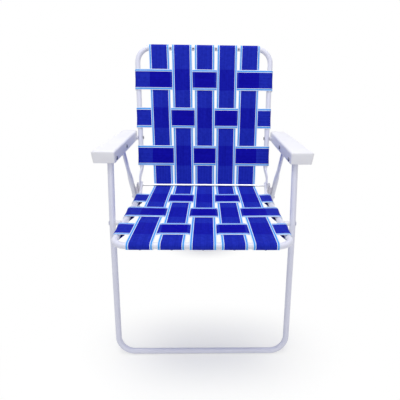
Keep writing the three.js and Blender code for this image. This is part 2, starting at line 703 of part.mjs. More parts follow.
add('front_leg_frame', frontFrameGeometry(), enamel);
add('rear_leg_frame', rearFrameGeometry(), enamel);
add('seat_frame', panelFrameGeometry(seatPanel, seatBladeHalf, seat.behindBolt), enamel);
add('back_frame', panelFrameGeometry(backPanel, backBladeHalf, back.armBoltUp), enamel);
add('hinge_rod', hingeRodGeometry(), enamel);

const backRows = [...backPanel.rows].reverse();
backRows.forEach((place, i) => add(`back_row_${i + 1}`, rowGeometry(backPanel, place, i), webbing));
seatPanel.rows.forEach((place, i) => {
  add(`seat_row_${i + 1}`, rowGeometry(seatPanel, place, backRows.length + i), webbing);
});
// A column meets the rows in order outwards from the hinge
const backRowNumbers = backRows.map((_, i) => backRows.length - 1 - i);
const seatRowNumbers = seatPanel.rows.map((_, i) => backRows.length + i);
for (let column = 0; column < columnCount; column += 1) {
  add(`back_column_${column + 1}`, columnGeometry(backPanel, column, backRowNumbers), webbing);
  add(`seat_column_${column + 1}`, columnGeometry(seatPanel, column, seatRowNumbers), webbing);
}

const seatTubeInner = seatHalfAtBolt - tube.radius - clearance;
const seatTubeOuter = seatHalfAtBolt + tube.radius + clearance;
const frontLegInner = frontLegHalf - tube.radius - clearance;
const frontLegOuter = frontLegHalf + tube.radius + clearance;
const backHalfAtBolt = backPanel.halfAt(back.armBoltUp);
const backTubeInner = backHalfAtBolt - tube.radius - clearance;
const backTubeOuter = backHalfAtBolt + tube.radius + clearance;
const armFace = armInner - clearance;
const armWallFace = armInner + arm.wall + clearance;
const rearFlatOuter = rearLegTopHalf + rearLegs.flatThickness / 2 + clearance;
const rearPinInner = rearLegPinHalf - tube.radius - clearance;
const rearPinOuter = rearLegPinHalf + tube.radius + clearance;
const bladeFace = backBladeOuter + clearance;
const legBushInner = rodHeadOuter + clearance;

for (const { name, sign } of sides) {
  const armrest = add(`armrest_${name}`, armrestGeometry(sign), mouldedPlastic);
  armrest.position.set(sign * armInner, armBolt.x, armBolt.y);
  armrest.rotation.x = Math.atan2(armAlong.y, armAlong.x);
  add(`front_arm_bolt_${name}`, boltGeometry(sign, armBolt, armFace, frontLegOuter), platedSteel);
  add(`rear_arm_bolt_${name}`, boltGeometry(sign, rearLegBolt, armFace, rearFlatOuter), platedSteel);
  add(`seat_bolt_${name}`, boltGeometry(sign, seatBolt, seatTubeInner, frontLegOuter), platedSteel);
  add(`seat_spacer_${name}`, bushGeometry(sign, seatBolt, seatTubeOuter, frontLegInner, bolt.radius), nylon);
  add(`back_arm_stud_${name}`, headedStud(sign, backBolt, backTubeInner, armFace), platedSteel);
  add(`back_spacer_${name}`, bushGeometry(sign, backBolt, backTubeOuter, armFace, bolt.radius), nylon);
  add(`arm_rear_nut_${name}`, nutStud(sign, backBolt, armWallFace, armInner), platedSteel);
  add(`link_${name}`, linkGeometry(sign), enamel);
  add(`hinge_bush_${name}`, bushGeometry(sign, hinge, bladeFace, linkFace, rod.radius), nylon);
  add(`link_rivet_${name}`, linkRivetGeometry(sign), platedSteel);
  add(`rear_leg_stud_${name}`, nutStud(sign, linkPin, rearPinOuter, legBushInner), platedSteel);
  add(`link_bush_${name}`, bushGeometry(sign, linkPin, legBushInner, rearPinInner, bolt.radius), nylon);
}

// The origin is the middle of the footprint, on the floor
chair.updateMatrixWorld(true);
const box = new THREE.Box3().setFromObject(chair, true);
chair.position.set(0, -(box.min.y + box.max.y) / 2, -box.min.z);
chair.updateMatrixWorld(true);

export default chair;
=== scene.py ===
# Folding webbed lawn chair: enamelled tube, moulded armrests and woven strap webbing.
import json
import math
from functools import partial

import bmesh
import bpy
from mathutils import Matrix, Vector


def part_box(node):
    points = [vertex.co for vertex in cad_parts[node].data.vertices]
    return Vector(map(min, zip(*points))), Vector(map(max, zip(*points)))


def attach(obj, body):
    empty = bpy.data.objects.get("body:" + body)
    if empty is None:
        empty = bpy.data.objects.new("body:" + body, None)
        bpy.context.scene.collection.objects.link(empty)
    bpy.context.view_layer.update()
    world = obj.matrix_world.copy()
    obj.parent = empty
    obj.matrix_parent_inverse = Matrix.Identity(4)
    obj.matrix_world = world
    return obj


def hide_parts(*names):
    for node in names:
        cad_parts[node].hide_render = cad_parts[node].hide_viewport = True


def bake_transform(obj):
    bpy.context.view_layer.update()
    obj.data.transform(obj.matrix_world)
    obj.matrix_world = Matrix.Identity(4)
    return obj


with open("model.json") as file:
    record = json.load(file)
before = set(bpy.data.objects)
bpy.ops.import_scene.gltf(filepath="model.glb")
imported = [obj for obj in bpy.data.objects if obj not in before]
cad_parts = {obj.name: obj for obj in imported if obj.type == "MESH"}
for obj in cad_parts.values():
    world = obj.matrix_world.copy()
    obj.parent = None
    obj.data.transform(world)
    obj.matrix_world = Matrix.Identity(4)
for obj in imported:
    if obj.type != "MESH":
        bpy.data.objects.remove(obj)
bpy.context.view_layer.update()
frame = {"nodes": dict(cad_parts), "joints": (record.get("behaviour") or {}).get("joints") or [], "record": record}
print("frame loaded:", len(frame["nodes"]), "nodes")

mm = 0.001
sides = {"left": 1, "right": -1}
jointAt = {joint["name"]: Vector(joint["pos_m"]) for joint in frame["joints"]}
bodyOf = {node: body for body, nodes in frame["record"]["behaviour"]["bodies"].items() for node in nodes}


# Small helpers
def newObject(name, data):
    obj = bpy.data.objects.new(name, data)
    bpy.context.scene.collection.objects.link(obj)
    return obj


def linearColour(hexColour):
    channels = [int(hexColour[i:i + 2], 16) / 255 for i in (1, 3, 5)]
    return (*[c / 12.92 if c <= 0.04045 else ((c + 0.055) / 1.055) ** 2.4 for c in channels], 1)


def lerp(a, b, share):
    return a + (b - a) * share


def smoothShare(value, low, high):
    share = min(1, max(0, (value - low) / (high - low)))
    return share * share * (3 - 2 * share)


def addNode(tree, kind, inputs=None, **settings):
    # inputs are values, hex colours, sockets, nodes for their first output, or lists of nodes for one socket
    node = tree.nodes.new(kind)
    for name, value in settings.items():
        setattr(node, name, value)
    for key, given in (inputs or {}).items():
        for value in given if isinstance(given, list) else [given]:
            if isinstance(value, bpy.types.Node):
                value = next(socket for socket in value.outputs if socket.enabled)
            if isinstance(value, bpy.types.NodeSocket):
                tree.links.new(value, node.inputs[key])
            else:
                isColour = str(value).startswith("#")
                node.inputs[key].default_value = linearColour(value) if isColour else value
    return node


def adderFor(owner):  # adds nodes to the emptied tree of a material or a world
    owner.use_nodes = True
    owner.node_tree.nodes.clear()
    return partial(addNode, owner.node_tree)


def newMaterial(name, surfaceOf, look, *details):
    # surfaceOf is given the coordinates and the look's noises by name, and returns the material's surface
    material = bpy.data.materials.new(name)
    add = adderFor(material)
    given = dict(add("ShaderNodeTexCoord").outputs.items())
    for label, (size, detail) in look.get("noises", {}).items():
        given[label] = add("ShaderNodeTexNoise", {
            "Vector": given["Object"], "Scale": 1 / (size * mm), "Detail": detail})
    add("ShaderNodeOutputMaterial", {"Surface": surfaceOf(add, given, look, *details)})
    return material


def meshObject(name, points, faces, material, edges=()):
    mesh = bpy.data.meshes.new(name)
    mesh.from_pydata([tuple(point) for point in points], edges, faces)
    mesh.materials.append(material)
    mesh.update()
    return newObject(name, mesh)


def setOnPoints(mesh, name, values, kind="FLOAT"):
    data = mesh.attributes.new(name, kind, "POINT").data
    data.foreach_set("value" if kind == "FLOAT" else "vector", values)


def facedOut(obj, mergeWithin=0):  # merges doubled points where asked, and turns every face outwards
    shape = bmesh.new()
    shape.from_mesh(obj.data)
    if mergeWithin:
        bmesh.ops.remove_doubles(shape, verts=shape.verts, dist=mergeWithin)
    bmesh.ops.recalc_face_normals(shape, faces=shape.faces)
    shape.to_mesh(obj.data)
    shape.free()
    return obj


# Edges that turn by more than this many degrees stay sharp
sharpAngles = {"tube": 40, "moulded": 45, "metal": 35, "web": 60}


def smoothed(obj, kind):
    obj.data.polygons.foreach_set("use_smooth", [True] * len(obj.data.polygons))
    obj.data.set_sharp_from_angle(angle=math.radians(sharpAngles[kind]))
    return obj


def loftFaces(rings, count):  # quads between the rings of a closed section, and a cap at both ends
    faces = []
    for start in range(0, (rings - 1) * count, count):
        for k in range(count):
            n = (k + 1) % count
            faces.append((start + k, start + n, start + count + n, start + count + k))
    return faces + [tuple(reversed(range(count))), tuple(range((rings - 1) * count, rings * count))]


def finished(obj, slotName, body, *nodes):  # rides on the body and stands for these nodes
    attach(obj, body)
    if nodes:
        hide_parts(*nodes)


# Camera, fitted to the photo's view
cameraView = {"place": (0.0067, -0.9913, 0.8311), "pitch": 26.27, "yaw": -1.483, "roll": 0.919,
              "lens": 32.82, "sensor": 36, "shift": (-0.0355, 0.0137)}


def addCamera(view):
    data = bpy.data.cameras.new("camera")
    data.lens = view["lens"]
    data.sensor_width = view["sensor"]
    data.shift_x, data.shift_y = view["shift"]
    camera = newObject("camera", data)
    turn = [Matrix.Rotation(math.radians(angle), 4, axis) for angle, axis in (
        (view["yaw"], "Z"), (90 - view["pitch"], "X"), (view["roll"], "Z"))]
    camera.matrix_world = Matrix.Translation(view["place"]) @ turn[0] @ turn[1] @ turn[2]
    bpy.context.scene.camera = camera


addCamera(cameraView)


# Materials. A noise is (size in mm, detail), a relief (strength, depth in mm), and roughness (least, most)
def surfaceFrom(add, look, colour, pattern=None, relief=None):
    # Roughness follows the pattern, a bump the relief, and look["inputs"] are plain inputs of the shader
    inputs = {"Base Color": colour, **look["inputs"]}
    if pattern:
        least, most = look["roughness"]
        inputs["Roughness"] = add("ShaderNodeMapRange", {"Value": pattern, "To Min": least, "To Max": most})
    if relief:
        strength, depth = look["relief"]
        inputs["Normal"] = add("ShaderNodeBump", {
            "Height": relief, "Strength": strength, "Distance": depth * mm})
    return add("ShaderNodeBsdfPrincipled", inputs)


enamelLook = {
    "light": "#e9eaf5", "dark": "#dddfee", "roughness": (0.25, 0.38), "relief": (0.25, 0.05),
    "noises": {"patches": (55, 3.0), "rub": (6, 5.0), "peel": (1.6, 1.0)},
    "scuff": "#a9a9b2", "scuffHeights": (0.2, 1.2), "scuffMost": 0.75, "rubbed": (0.42, 0.6),
    "inputs": {"IOR": 1.5, "Coat Weight": 0.2, "Coat Roughness": 0.12},
}


def enamelSurface(add, given, look):
    # Stove enamel over steel tube: glossy, with a faint orange peel, and rubbed grey where it meets the floor
    tone = add("ShaderNodeMix", {0: given["patches"], 6: look["light"], 7: look["dark"]}, data_type="RGBA")
    height = add("ShaderNodeSeparateXYZ", {"Vector": given["Object"]}).outputs["Z"]
    lowest, highest = look["scuffHeights"]
    low = add("ShaderNodeMapRange", {
        "Value": height, "From Min": highest * mm, "From Max": lowest * mm, "To Max": look["scuffMost"]})
    worn = add("ShaderNodeMapRange", {
        "Value": given["rub"], "From Min": look["rubbed"][0], "From Max": look["rubbed"][1]})
    scuff = add("ShaderNodeMath", {0: low, 1: worn}, operation="MULTIPLY")
    colour = add("ShaderNodeMix", {0: scuff, 6: tone, 7: look["scuff"]}, data_type="RGBA")
    return surfaceFrom(add, look, colour, given["patches"], given["peel"])


plasticLook = {
    "light": "#f4f4f6", "dark": "#ebebef", "roughness": (0.4, 0.5), "relief": (0.3, 0.04),
    "noises": {"patches": (40, 2.0), "grain": (0.7, 2.0)}, "inputs": {"IOR": 1.49},
}


def plasticSurface(add, given, look):
    # Injection moulded polypropylene: satin white, a fine spark-eroded grain and slight flow shading
    tone = add("ShaderNodeMix", {0: given["patches"], 6: look["light"], 7: look["dark"]}, data_type="RGBA")
    return surfaceFrom(add, look, tone, given["grain"], given["grain"])


linkSteelLook = {"light": "#cbc9d8", "dark": "#a6a4b4", "noises": {"bloom": (2.5, 4.0)},
                 "roughness": (0.3, 0.52), "inputs": {"Metallic": 1.0}}
fastenerLook = {**linkSteelLook, "light": "#9a9ca6", "dark": "#666872", "roughness": (0.24, 0.46)}


def steelSurface(add, given, look):
    # Zinc plate on steel: a soft grey shine with a mottled bloom, pale on links and dull on fasteners
    tone = add("ShaderNodeMix", {0: given["bloom"], 6: look["light"], 7: look["dark"]}, data_type="RGBA")
    return surfaceFrom(add, look, tone, given["bloom"])


rodLook = {
    "top": "#f4f4f6", "under": "#85858c", "turnLow": -0.25, "turnHigh": 0.0, "roughness": (0.22, 0.38),
    "lineSize": 0.6, "lineDetail": 2.0, "lineSqueeze": 0.05, "inputs": {"Metallic": 0.6},
}


def rodSurface(add, given, look):
    # Bright drawn steel rod: pale, with painted shade along its underside, darker where the surface faces down,
    # and fine lines along it
    squeeze = (look["lineSqueeze"], 1.0, 1.0)
    squeezed = add("ShaderNodeMapping", {"Vector": given["Object"], "Scale": squeeze})
    lines = add("ShaderNodeTexNoise", {
        "Vector": squeezed, "Scale": 1 / (look["lineSize"] * mm), "Detail": look["lineDetail"]})
    facing = add("ShaderNodeNewGeometry").outputs["Normal"]
    upward = add("ShaderNodeSeparateXYZ", {"Vector": facing}).outputs["Z"]
    # Painted shade: the colour turns from the pale top to the dark underside by which way the surface faces
    clean = add("ShaderNodeMapRange", {
        "Value": upward, "From Min": look["turnLow"], "From Max": look["turnHigh"]})
    colour = add("ShaderNodeMix", {0: clean, 6: look["under"], 7: look["top"]}, data_type="RGBA")
    return surfaceFrom(add, look, colour, lines)


nylonLook = {"light": "#f0f0f3", "dark": "#e2e2e8", "ringPitch": 6, "ringWander": 0.4, "relief": (0.3, 0.05),
             "inputs": {"Roughness": 0.5, "IOR": 1.53}}


def nylonSurface(add, given, look):
    # Turned nylon spacers: milky white and waxy, with fine rings from the tool
    rings = add("ShaderNodeTexWave", {
        "Vector": given["Object"], "Scale": 1 / (look["ringPitch"] * mm), "Distortion": look["ringWander"]},
        wave_type="BANDS", bands_direction="X").outputs["Fac"]
    tone = add("ShaderNodeMix", {0: rings, 6: look["light"], 7: look["dark"]}, data_type="RGBA")
    return surfaceFrom(add, look, tone, relief=rings)


webLook = {
    "bright": "#2131bd", "deep": "#1623a5", "doubledBright": "#100dae", "doubledDeep": "#070399",
    "band": "#4ea6fa", "pale": "#eaf4ff",
    "bodyEdge": 24.1, "lineIn": 25.5, "lineOut": 29.6, "softness": 0.25,  # mm from the strap's middle
    "streaks": (4.5, 150, 4.0), "blotches": (9, 9, 5.0), "streakLow": 0.7, "streakHigh": 1.3,
    "rowContact": 1.0, "columnContact": 0.7, "cordPitch": 1.7, "pickPitch": 1.3, "pickHeight": 0.45,
    "relief": (0.5, 0.25), "weaveShade": (0.84, 1.06),
    "inputs": {"Roughness": 0.6, "IOR": 1.49, "Specular IOR Level": 0.05},
}


def webSurface(add, given, look, stripWidth):
    # Woven polypropylene webbing: lengthwise cords, fine picks across, light blue bands at both edges, with
    # painted shade where straps cross and in the weave's grooves
    uv = given["UV"]
    parts = add("ShaderNodeSeparateXYZ", {"Vector": uv})
    across = add("ShaderNodeMath", {0: parts.outputs["X"], 1: 0.5}, operation="SUBTRACT")
    fromMiddle = add("ShaderNodeMath", {0: across}, operation="ABSOLUTE")
    acrossMm = add("ShaderNodeMath", {0: fromMiddle, 1: stripWidth}, operation="MULTIPLY")

    def noiseOf(width, length, detail):  # noise patches that wide and long in mm
        scale = (stripWidth / width, stripWidth / length, 1.0)
        stretch = add("ShaderNodeMapping", {"Vector": uv, "Scale": scale})
        return add("ShaderNodeTexNoise", {"Vector": stretch, "Scale": 1.0, "Detail": detail})

    # Yarn streaks run along the strap, long and thin, over a blotchy ground
    both = add("ShaderNodeMath", {
        0: noiseOf(*look["streaks"]), 1: noiseOf(*look["blotches"])}, operation="ADD")
    streak = add("ShaderNodeMapRange", {
        "Value": both, "From Min": look["streakLow"], "From Max": look["streakHigh"]})
    single, doubled = [
        add("ShaderNodeMix", {0: streak, 6: look[bright], 7: look[deep]}, data_type="RGBA")
        for bright, deep in (("bright", "deep"), ("doubledBright", "doubledDeep"))]

    # Painted shade: where two straps cross, the web takes darker colours that stand in for the light two layers
    # hold back; each strap's own share sets how much, full on the cross straps and less on the long ones
    covered = add("ShaderNodeAttribute", attribute_name="covered").outputs["Fac"]
    layers = add("ShaderNodeMapRange", {
        "Value": covered, "From Min": -look["softness"], "From Max": look["softness"]})
    contact = add("ShaderNodeAttribute", attribute_name="contact").outputs["Fac"]
    closed = add("ShaderNodeMath", {0: layers, 1: contact}, operation="MULTIPLY")
    colour = add("ShaderNodeMix", {0: closed, 6: single, 7: doubled}, data_type="RGBA")

    # Pale line, blue band and pale selvedge, each from its edge outwards
    for edge, tone in (("bodyEdge", "pale"), ("lineIn", "band"), ("lineOut", "pale")):
        beyond = add("ShaderNodeMapRange", {
            "Value": acrossMm, "From Min": look[edge] - look["softness"],
            "From Max": look[edge] + look["softness"]})
        colour = add("ShaderNodeMix", {0: beyond, 6: colour, 7: look[tone]}, data_type="RGBA")

    def ripple(coordinate, pitch):  # a round cord or pick every pitch
        turns = add("ShaderNodeMath", {
            0: parts.outputs[coordinate], 1: 2 * math.pi * stripWidth / pitch}, operation="MULTIPLY")
        wave = add("ShaderNodeMath", {0: turns}, operation="SINE")
        return add("ShaderNodeMapRange", {"Value": wave, "From Min": -1.0, "From Max": 1.0})

    cords = ripple("X", look["cordPitch"])
    picks = add("ShaderNodeMath", {
        0: ripple("Y", look["pickPitch"]), 1: look["pickHeight"]}, operation="MULTIPLY")
    weave = add("ShaderNodeMath", {0: cords, 1: picks}, operation="ADD")
    # Painted shade: the colour is darker in the grooves between cords and picks and lighter on their crowns, as
    # well as the bump
    shade = add("ShaderNodeMapRange", {
        "Value": weave, "From Max": 1 + look["pickHeight"],
        "To Min": look["weaveShade"][0], "To Max": look["weaveShade"][1]})
    woven = add("ShaderNodeMix", {0: 1.0, 6: colour, 7: shade}, data_type="RGBA", blend_type="MULTIPLY")
    return surfaceFrom(add, look, woven, relief=weave)


stripWidth = 63
enamel = newMaterial("stoveEnamel", enamelSurface, enamelLook)
plastic = newMaterial("mouldedPolypropylene", plasticSurface, plasticLook)
linkSteel = newMaterial("zincPlatedSteel", steelSurface, linkSteelLook)
fastenerSteel = newMaterial("dulledZincSteel", steelSurface, fastenerLook)
rodSteel = newMaterial("drawnSteelRod", rodSurface, rodLook)
nylon = newMaterial("turnedNylon", nylonSurface, nylonLook)
webbing = newMaterial("wovenPolypropyleneWeb", webSurface, webLook, stripWidth)
print("materials made")


# Geometry Nodes
def newTree(name, sockets, geometryOf, *details):  # geometryOf adds the tree's nodes and returns its geometry
    tree = bpy.data.node_groups.new(name, "GeometryNodeTree")
    for label, kind in {"Geometry": "Geometry", **sockets, "Finish": "Material"}.items():
        tree.interface.new_socket(label, in_out="INPUT", socket_type="NodeSocket" + kind)
    tree.interface.new_socket("Geometry", in_out="OUTPUT", socket_type="NodeSocketGeometry")
    add = partial(addNode, tree)
    given = add("NodeGroupInput").outputs
    realized = add("GeometryNodeRealizeInstances", {"Geometry": geometryOf(add, given, *details)})
    painted = add("GeometryNodeSetMaterial", {"Geometry": realized, "Material": given["Finish"]})
    add("NodeGroupOutput", {0: painted})
    return tree


def grown(obj, tree, values):  # runs the tree on the object and keeps the result as a plain mesh
    values = {**values, "Finish": obj.data.materials[0]}
    modifier = obj.modifiers.new("grow", "NODES")
    modifier.node_group = tree
    for item in tree.interface.items_tree:
        if item.in_out == "INPUT" and item.name in values:
            modifier[item.identifier] = values[item.name]
    depsgraph = bpy.context.evaluated_depsgraph_get()
    mesh = bpy.data.meshes.new_from_object(obj.evaluated_get(depsgraph), depsgraph=depsgraph)
    obj.modifiers.clear()
    old = obj.data
    obj.data = mesh
    bpy.data.meshes.remove(old)
    mesh.name = obj.name


def tubeOn(add, given):
    # Carries a ring along the line, then presses it to each point's width and thickness
    line = add("GeometryNodeMeshToCurve", {"Mesh": given["Geometry"]})
    here = add("GeometryNodeInputPosition")
    marked = add("GeometryNodeStoreNamedAttribute", {
        "Geometry": line, "Name": "centre", "Value": here}, data_type="FLOAT_VECTOR")
    ring = add("GeometryNodeCurvePrimitiveCircle", {
        "Resolution": given["Sides"], "Radius": given["Radius"]})
    swept = add("GeometryNodeCurveToMesh", {"Curve": marked, "Profile Curve": ring, "Fill Caps": True})

    def stored(name, kind="FLOAT"):
        return add("GeometryNodeInputNamedAttribute", {"Name": name}, data_type=kind)

    centre = stored("centre", "FLOAT_VECTOR")
    away = add("ShaderNodeVectorMath", {0: here, 1: centre}, operation="SUBTRACT")
    parts = add("ShaderNodeSeparateXYZ", {0: away}).outputs
    flat = add("ShaderNodeCombineXYZ", {"Y": parts["Y"], "Z": parts["Z"]})
    reach = add("ShaderNodeVectorMath", {0: flat}, operation="LENGTH")
    outward = add("ShaderNodeVectorMath", {0: flat}, operation="NORMALIZE")

    def pressedTo(distance, size):  # |distance / radius| to the power, times half the size
        share = add("ShaderNodeMath", {0: distance, 1: given["Radius"]}, operation="DIVIDE")
        bare = add("ShaderNodeMath", {0: share}, operation="ABSOLUTE")
        raised = add("ShaderNodeMath", {0: bare, 1: stored("power")}, operation="POWER")
        half = add("ShaderNodeMath", {0: stored(size), 1: 0.5}, operation="MULTIPLY")
        return add("ShaderNodeMath", {0: raised, 1: half}, operation="MULTIPLY")

    sign = add("ShaderNodeMath", {0: parts["X"]}, operation="SIGN")
    thick = add("ShaderNodeMath", {0: pressedTo(parts["X"], "thick"), 1: sign}, operation="MULTIPLY")
    wide = add("ShaderNodeVectorMath", {0: outward, "Scale": pressedTo(reach, "wide")}, operation="SCALE")
    sideways = add("ShaderNodeCombineXYZ", {"X": thick})
    push = add("ShaderNodeVectorMath", {0: wide, 1: sideways}, operation="ADD")
    place = add("ShaderNodeVectorMath", {0: centre, 1: push}, operation="ADD")
    return add("GeometryNodeSetPosition", {"Geometry": swept, "Position": place})


# Shares are of the head's radius, and the rim's of the washer's
screwShape = {"riseShare": 0.62, "recessShare": 1.15, "slotShare": 0.24, "rimShare": 0.72,
              "headSides": 20, "headRings": 10, "washerSides": 24, "rimSides": 10}


def screwsOn(add, given, shape):
    # A pan head with a cross recess on a rolled washer, at each point, facing along its "facing"
    def scaled(size, share):
        return add("ShaderNodeMath", {0: given[size], 1: shape[share]}, operation="MULTIPLY")

    head = add("GeometryNodeMeshUVSphere", {
        "Segments": shape["headSides"], "Rings": shape["headRings"], "Radius": given["Head Radius"]})
    low = add("GeometryNodeTransform", {"Geometry": head, "Scale": (1.0, 1.0, shape["riseShare"])})
    long = scaled("Head Radius", "recessShare")
    thin = scaled("Head Radius", "slotShare")
    lift = add("ShaderNodeCombineXYZ", {"Z": scaled("Head Radius", "riseShare")})
    recesses = []
    for longAxis, thinAxis in ("XY", "YX"):
        size = add("ShaderNodeCombineXYZ", {longAxis: long, thinAxis: thin, "Z": given["Head Radius"]})
        bar = add("GeometryNodeMeshCube", {"Size": size})
        recesses.append(add("GeometryNodeTransform", {"Geometry": bar, "Translation": lift}))
    cut = add("GeometryNodeMeshBoolean", {"Mesh 1": low, "Mesh 2": recesses}, operation="DIFFERENCE")
    rim = scaled("Washer Radius", "rimShare")
    path = add("GeometryNodeCurvePrimitiveCircle", {"Resolution": shape["washerSides"], "Radius": rim})
    section = add("GeometryNodeCurvePrimitiveCircle", {
        "Resolution": shape["rimSides"], "Radius": given["Washer Thickness"]})
    washer = add("GeometryNodeCurveToMesh", {"Curve": path, "Profile Curve": section})
    disc = add("GeometryNodeMeshCylinder", {
        "Vertices": shape["washerSides"], "Radius": rim, "Depth": given["Washer Thickness"]})
    whole = add("GeometryNodeJoinGeometry", {"Geometry": [cut, washer, disc]})
    facing = add("GeometryNodeInputNamedAttribute", {"Name": "facing"}, data_type="FLOAT_VECTOR")
    turn = add("FunctionNodeAlignRotationToVector", {"Vector": facing}, axis="Z")
    spin = add("FunctionNodeRandomValue", {"Seed": given["Seed"]}, data_type="FLOAT")
    spinVector = add("ShaderNodeCombineXYZ", {"Z": spin})
    aimed = add("FunctionNodeRotateRotation", {
        "Rotation": turn, "Rotate By": spinVector}, rotation_space="LOCAL")
    return add("GeometryNodeInstanceOnPoints", {
        "Points": given["Geometry"], "Instance": whole, "Rotation": aimed})


def ribsOn(add, given):
    # Plain upright ribs, one at each point, each as wide across the arm as the point's "reach"
    size = add("ShaderNodeCombineXYZ", {"X": 1.0, "Y": given["Length"], "Z": given["Height"]})
    rib = add("GeometryNodeMeshCube", {"Size": size})
    lean = add("ShaderNodeCombineXYZ", {"X": given["Slope"]})
    reach = add("GeometryNodeInputNamedAttribute", {"Name": "reach"}, data_type="FLOAT")
    stretch = add("ShaderNodeCombineXYZ", {"X": reach, "Y": 1.0, "Z": 1.0})
    return add("GeometryNodeInstanceOnPoints", {
        "Points": given["Geometry"], "Instance": rib, "Rotation": lean, "Scale": stretch})


tubeMaker = newTree("bentTube", {"Radius": "Float", "Sides": "Int"}, tubeOn)
ribMaker = newTree("armRibs", {"Length": "Float", "Height": "Float", "Slope": "Float"}, ribsOn)
screwMaker = newTree("strapScrews", {"Head Radius": "Float", "Washer Radius": "Float",
                                     "Washer Thickness": "Float", "Seed": "Int"}, screwsOn, screwShape)
print("geometry trees made")


# Frame sizes, in mm and degrees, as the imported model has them
tube = {"radius": 7.9, "seatOf": 8, "sides": 32, "bendStep": 4, "straightStep": 25, "pressedStep": 2.5}
blade = {"thickness": 4.8, "width": 22.5, "tip": 11.5, "rampEnd": 50, "kneeRadius": 18, "flatEnd": 38}
pressing = {"exponent": 4, "roundness": 0.94}  # of the flattened section's corners, and of its tip
clearance = 0.3
frontLegs = {"lowerLean": 13, "upperLean": 17.7, "cornerRadius": 45, "bendRadius": 90, "endBeyondBolt": 11}
seat = {"slope": 3, "behindBolt": 251.6, "length": 370, "rearHalf": 191.5, "flare": 16.5, "cornerRadius": 32,
        "spacer": 13.6, "sag": 3, "bladeStraight": 3, "bladeBlend": 22}
back = {"lean": 20.3, "length": 426, "rearHalf": 197.5, "flare": 11, "cornerRadius": 45, "sag": 2,
        "bladeStraight": 26, "bladeBlend": 36}
rearLegs = {"lean": 28.5, "topHalf": 228.92, "pinHalf": 228.3, "pinDown": 235, "cornerRadius": 45,
            "flatThickness": 7.4, "flatWidth": 19.5, "flatLength": 100, "blend": 45, "endBeyondBolt": 10}
barHeight = 7.835  # middle of both floor bars
hingeHeight = 13.05  # hinge rod over the middle of the panels' tubes


def turnedBy(y, z, degrees):  # a side-view direction, turned from y towards z
    angle = math.radians(degrees)
    return Vector((y * math.cos(angle) - z * math.sin(angle), y * math.sin(angle) + z * math.cos(angle)))


def sideOf(point):
    return Vector((point.y, point.z))


def middleOf(node):
    return sideOf(sum(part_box(node), Vector()) / 2)


hinge = sideOf(jointAt["back_hinge"])
seatBolt = sideOf(jointAt["fold"])
armBolt = sideOf(jointAt["left_arm_hinge"])
rearLegBolt = sideOf(jointAt["rear_leg_hinge"])


def panel(name, sizes, along, up):
    def at(s, h):  # side-view point, s from the hinge and h over the tubes, both in mm
        return hinge + (along * s + up * (h - hingeHeight)) * mm

    def halfAt(s):
        return sizes["rearHalf"] + sizes["flare"] * s / sizes["length"]

    def setback(x):  # how far the end bar has curved back at this x
        start = halfAt(sizes["length"]) - sizes["cornerRadius"]
        into = min(sizes["cornerRadius"], max(0, abs(x) - start))
        return sizes["cornerRadius"] - math.sqrt(sizes["cornerRadius"] ** 2 - into ** 2)

    def sagAt(s, x):  # how far the stretched webbing gives in the middle
        lengthShare = min(1, max(0, s / sizes["length"]))
        widthShare = min(1, abs(x) / halfAt(s))
        return sizes["sag"] * math.sin(math.pi * lengthShare) * (1 - widthShare ** 2)

    return {**sizes, "name": name, "along": along, "up": up, "at": at, "halfAt": halfAt,
            "setback": setback, "sagAt": sagAt}


seatPanel = panel("seat", seat, turnedBy(-1, 0, -seat["slope"]), turnedBy(0, 1, -seat["slope"]))
backPanel = panel("back", back, turnedBy(0, 1, -back["lean"]), turnedBy(-1, 0, -back["lean"]))


# Bent tube frames
def bentLine(corners):  # corners are (point, bend radius), in metres
    points = [corners[0][0]]
    for (before, _), (corner, radius), (after, _) in zip(corners, corners[1:], corners[2:]):
        arriving = (corner - before).normalized()
        leaving = (after - corner).normalized()
        turn = arriving.angle(leaving)
        start = corner - arriving * radius * math.tan(turn / 2)
        inward = (leaving - arriving * leaving.dot(arriving)).normalized()
        steps = max(2, round(math.degrees(turn) / tube["bendStep"]))
        for k in range(steps + 1):
            angle = turn * k / steps
            forward = arriving * radius * math.sin(angle)
            points.append(start + forward + inward * radius * (1 - math.cos(angle)))
    points.append(corners[-1][0])
    return points


def divided(points, reach):  # short steps near both ends, where the tube is pressed, and long ones between
    total = sum((b - a).length for a, b in zip(points, points[1:]))
    line, travelled = [(points[0], 0.0)], 0.0
    for a, b in zip(points, points[1:]):
        length = (b - a).length
        nearEnd = travelled < reach or total - travelled - length < reach
        steps = max(1, math.ceil(length / mm / (tube["pressedStep"] if nearEnd else tube["straightStep"])))
        line += [(a.lerp(b, k / steps), travelled + length * k / steps) for k in range(1, steps + 1)]
        travelled += length
    return [(point, min(at, total - at)) for point, at in line]


def sectionAt(toEnd, flat):  # width, thickness and power of the ring that far from the tube's end, in mm
    full = 2 * tube["radius"]
    if not flat:
        return full, full, 1.0
    share = smoothShare(toEnd, flat["length"], flat["length"] + flat["blend"])
    width = lerp(flat["width"], full, share)
    fromTip = max(0, 1 - 2 * toEnd / width)
    roundTip = math.sqrt(1 - pressing["roundness"] * fromTip ** 2)
    return width * roundTip, lerp(flat["thickness"], full, share), lerp(2 / pressing["exponent"], 1, share)


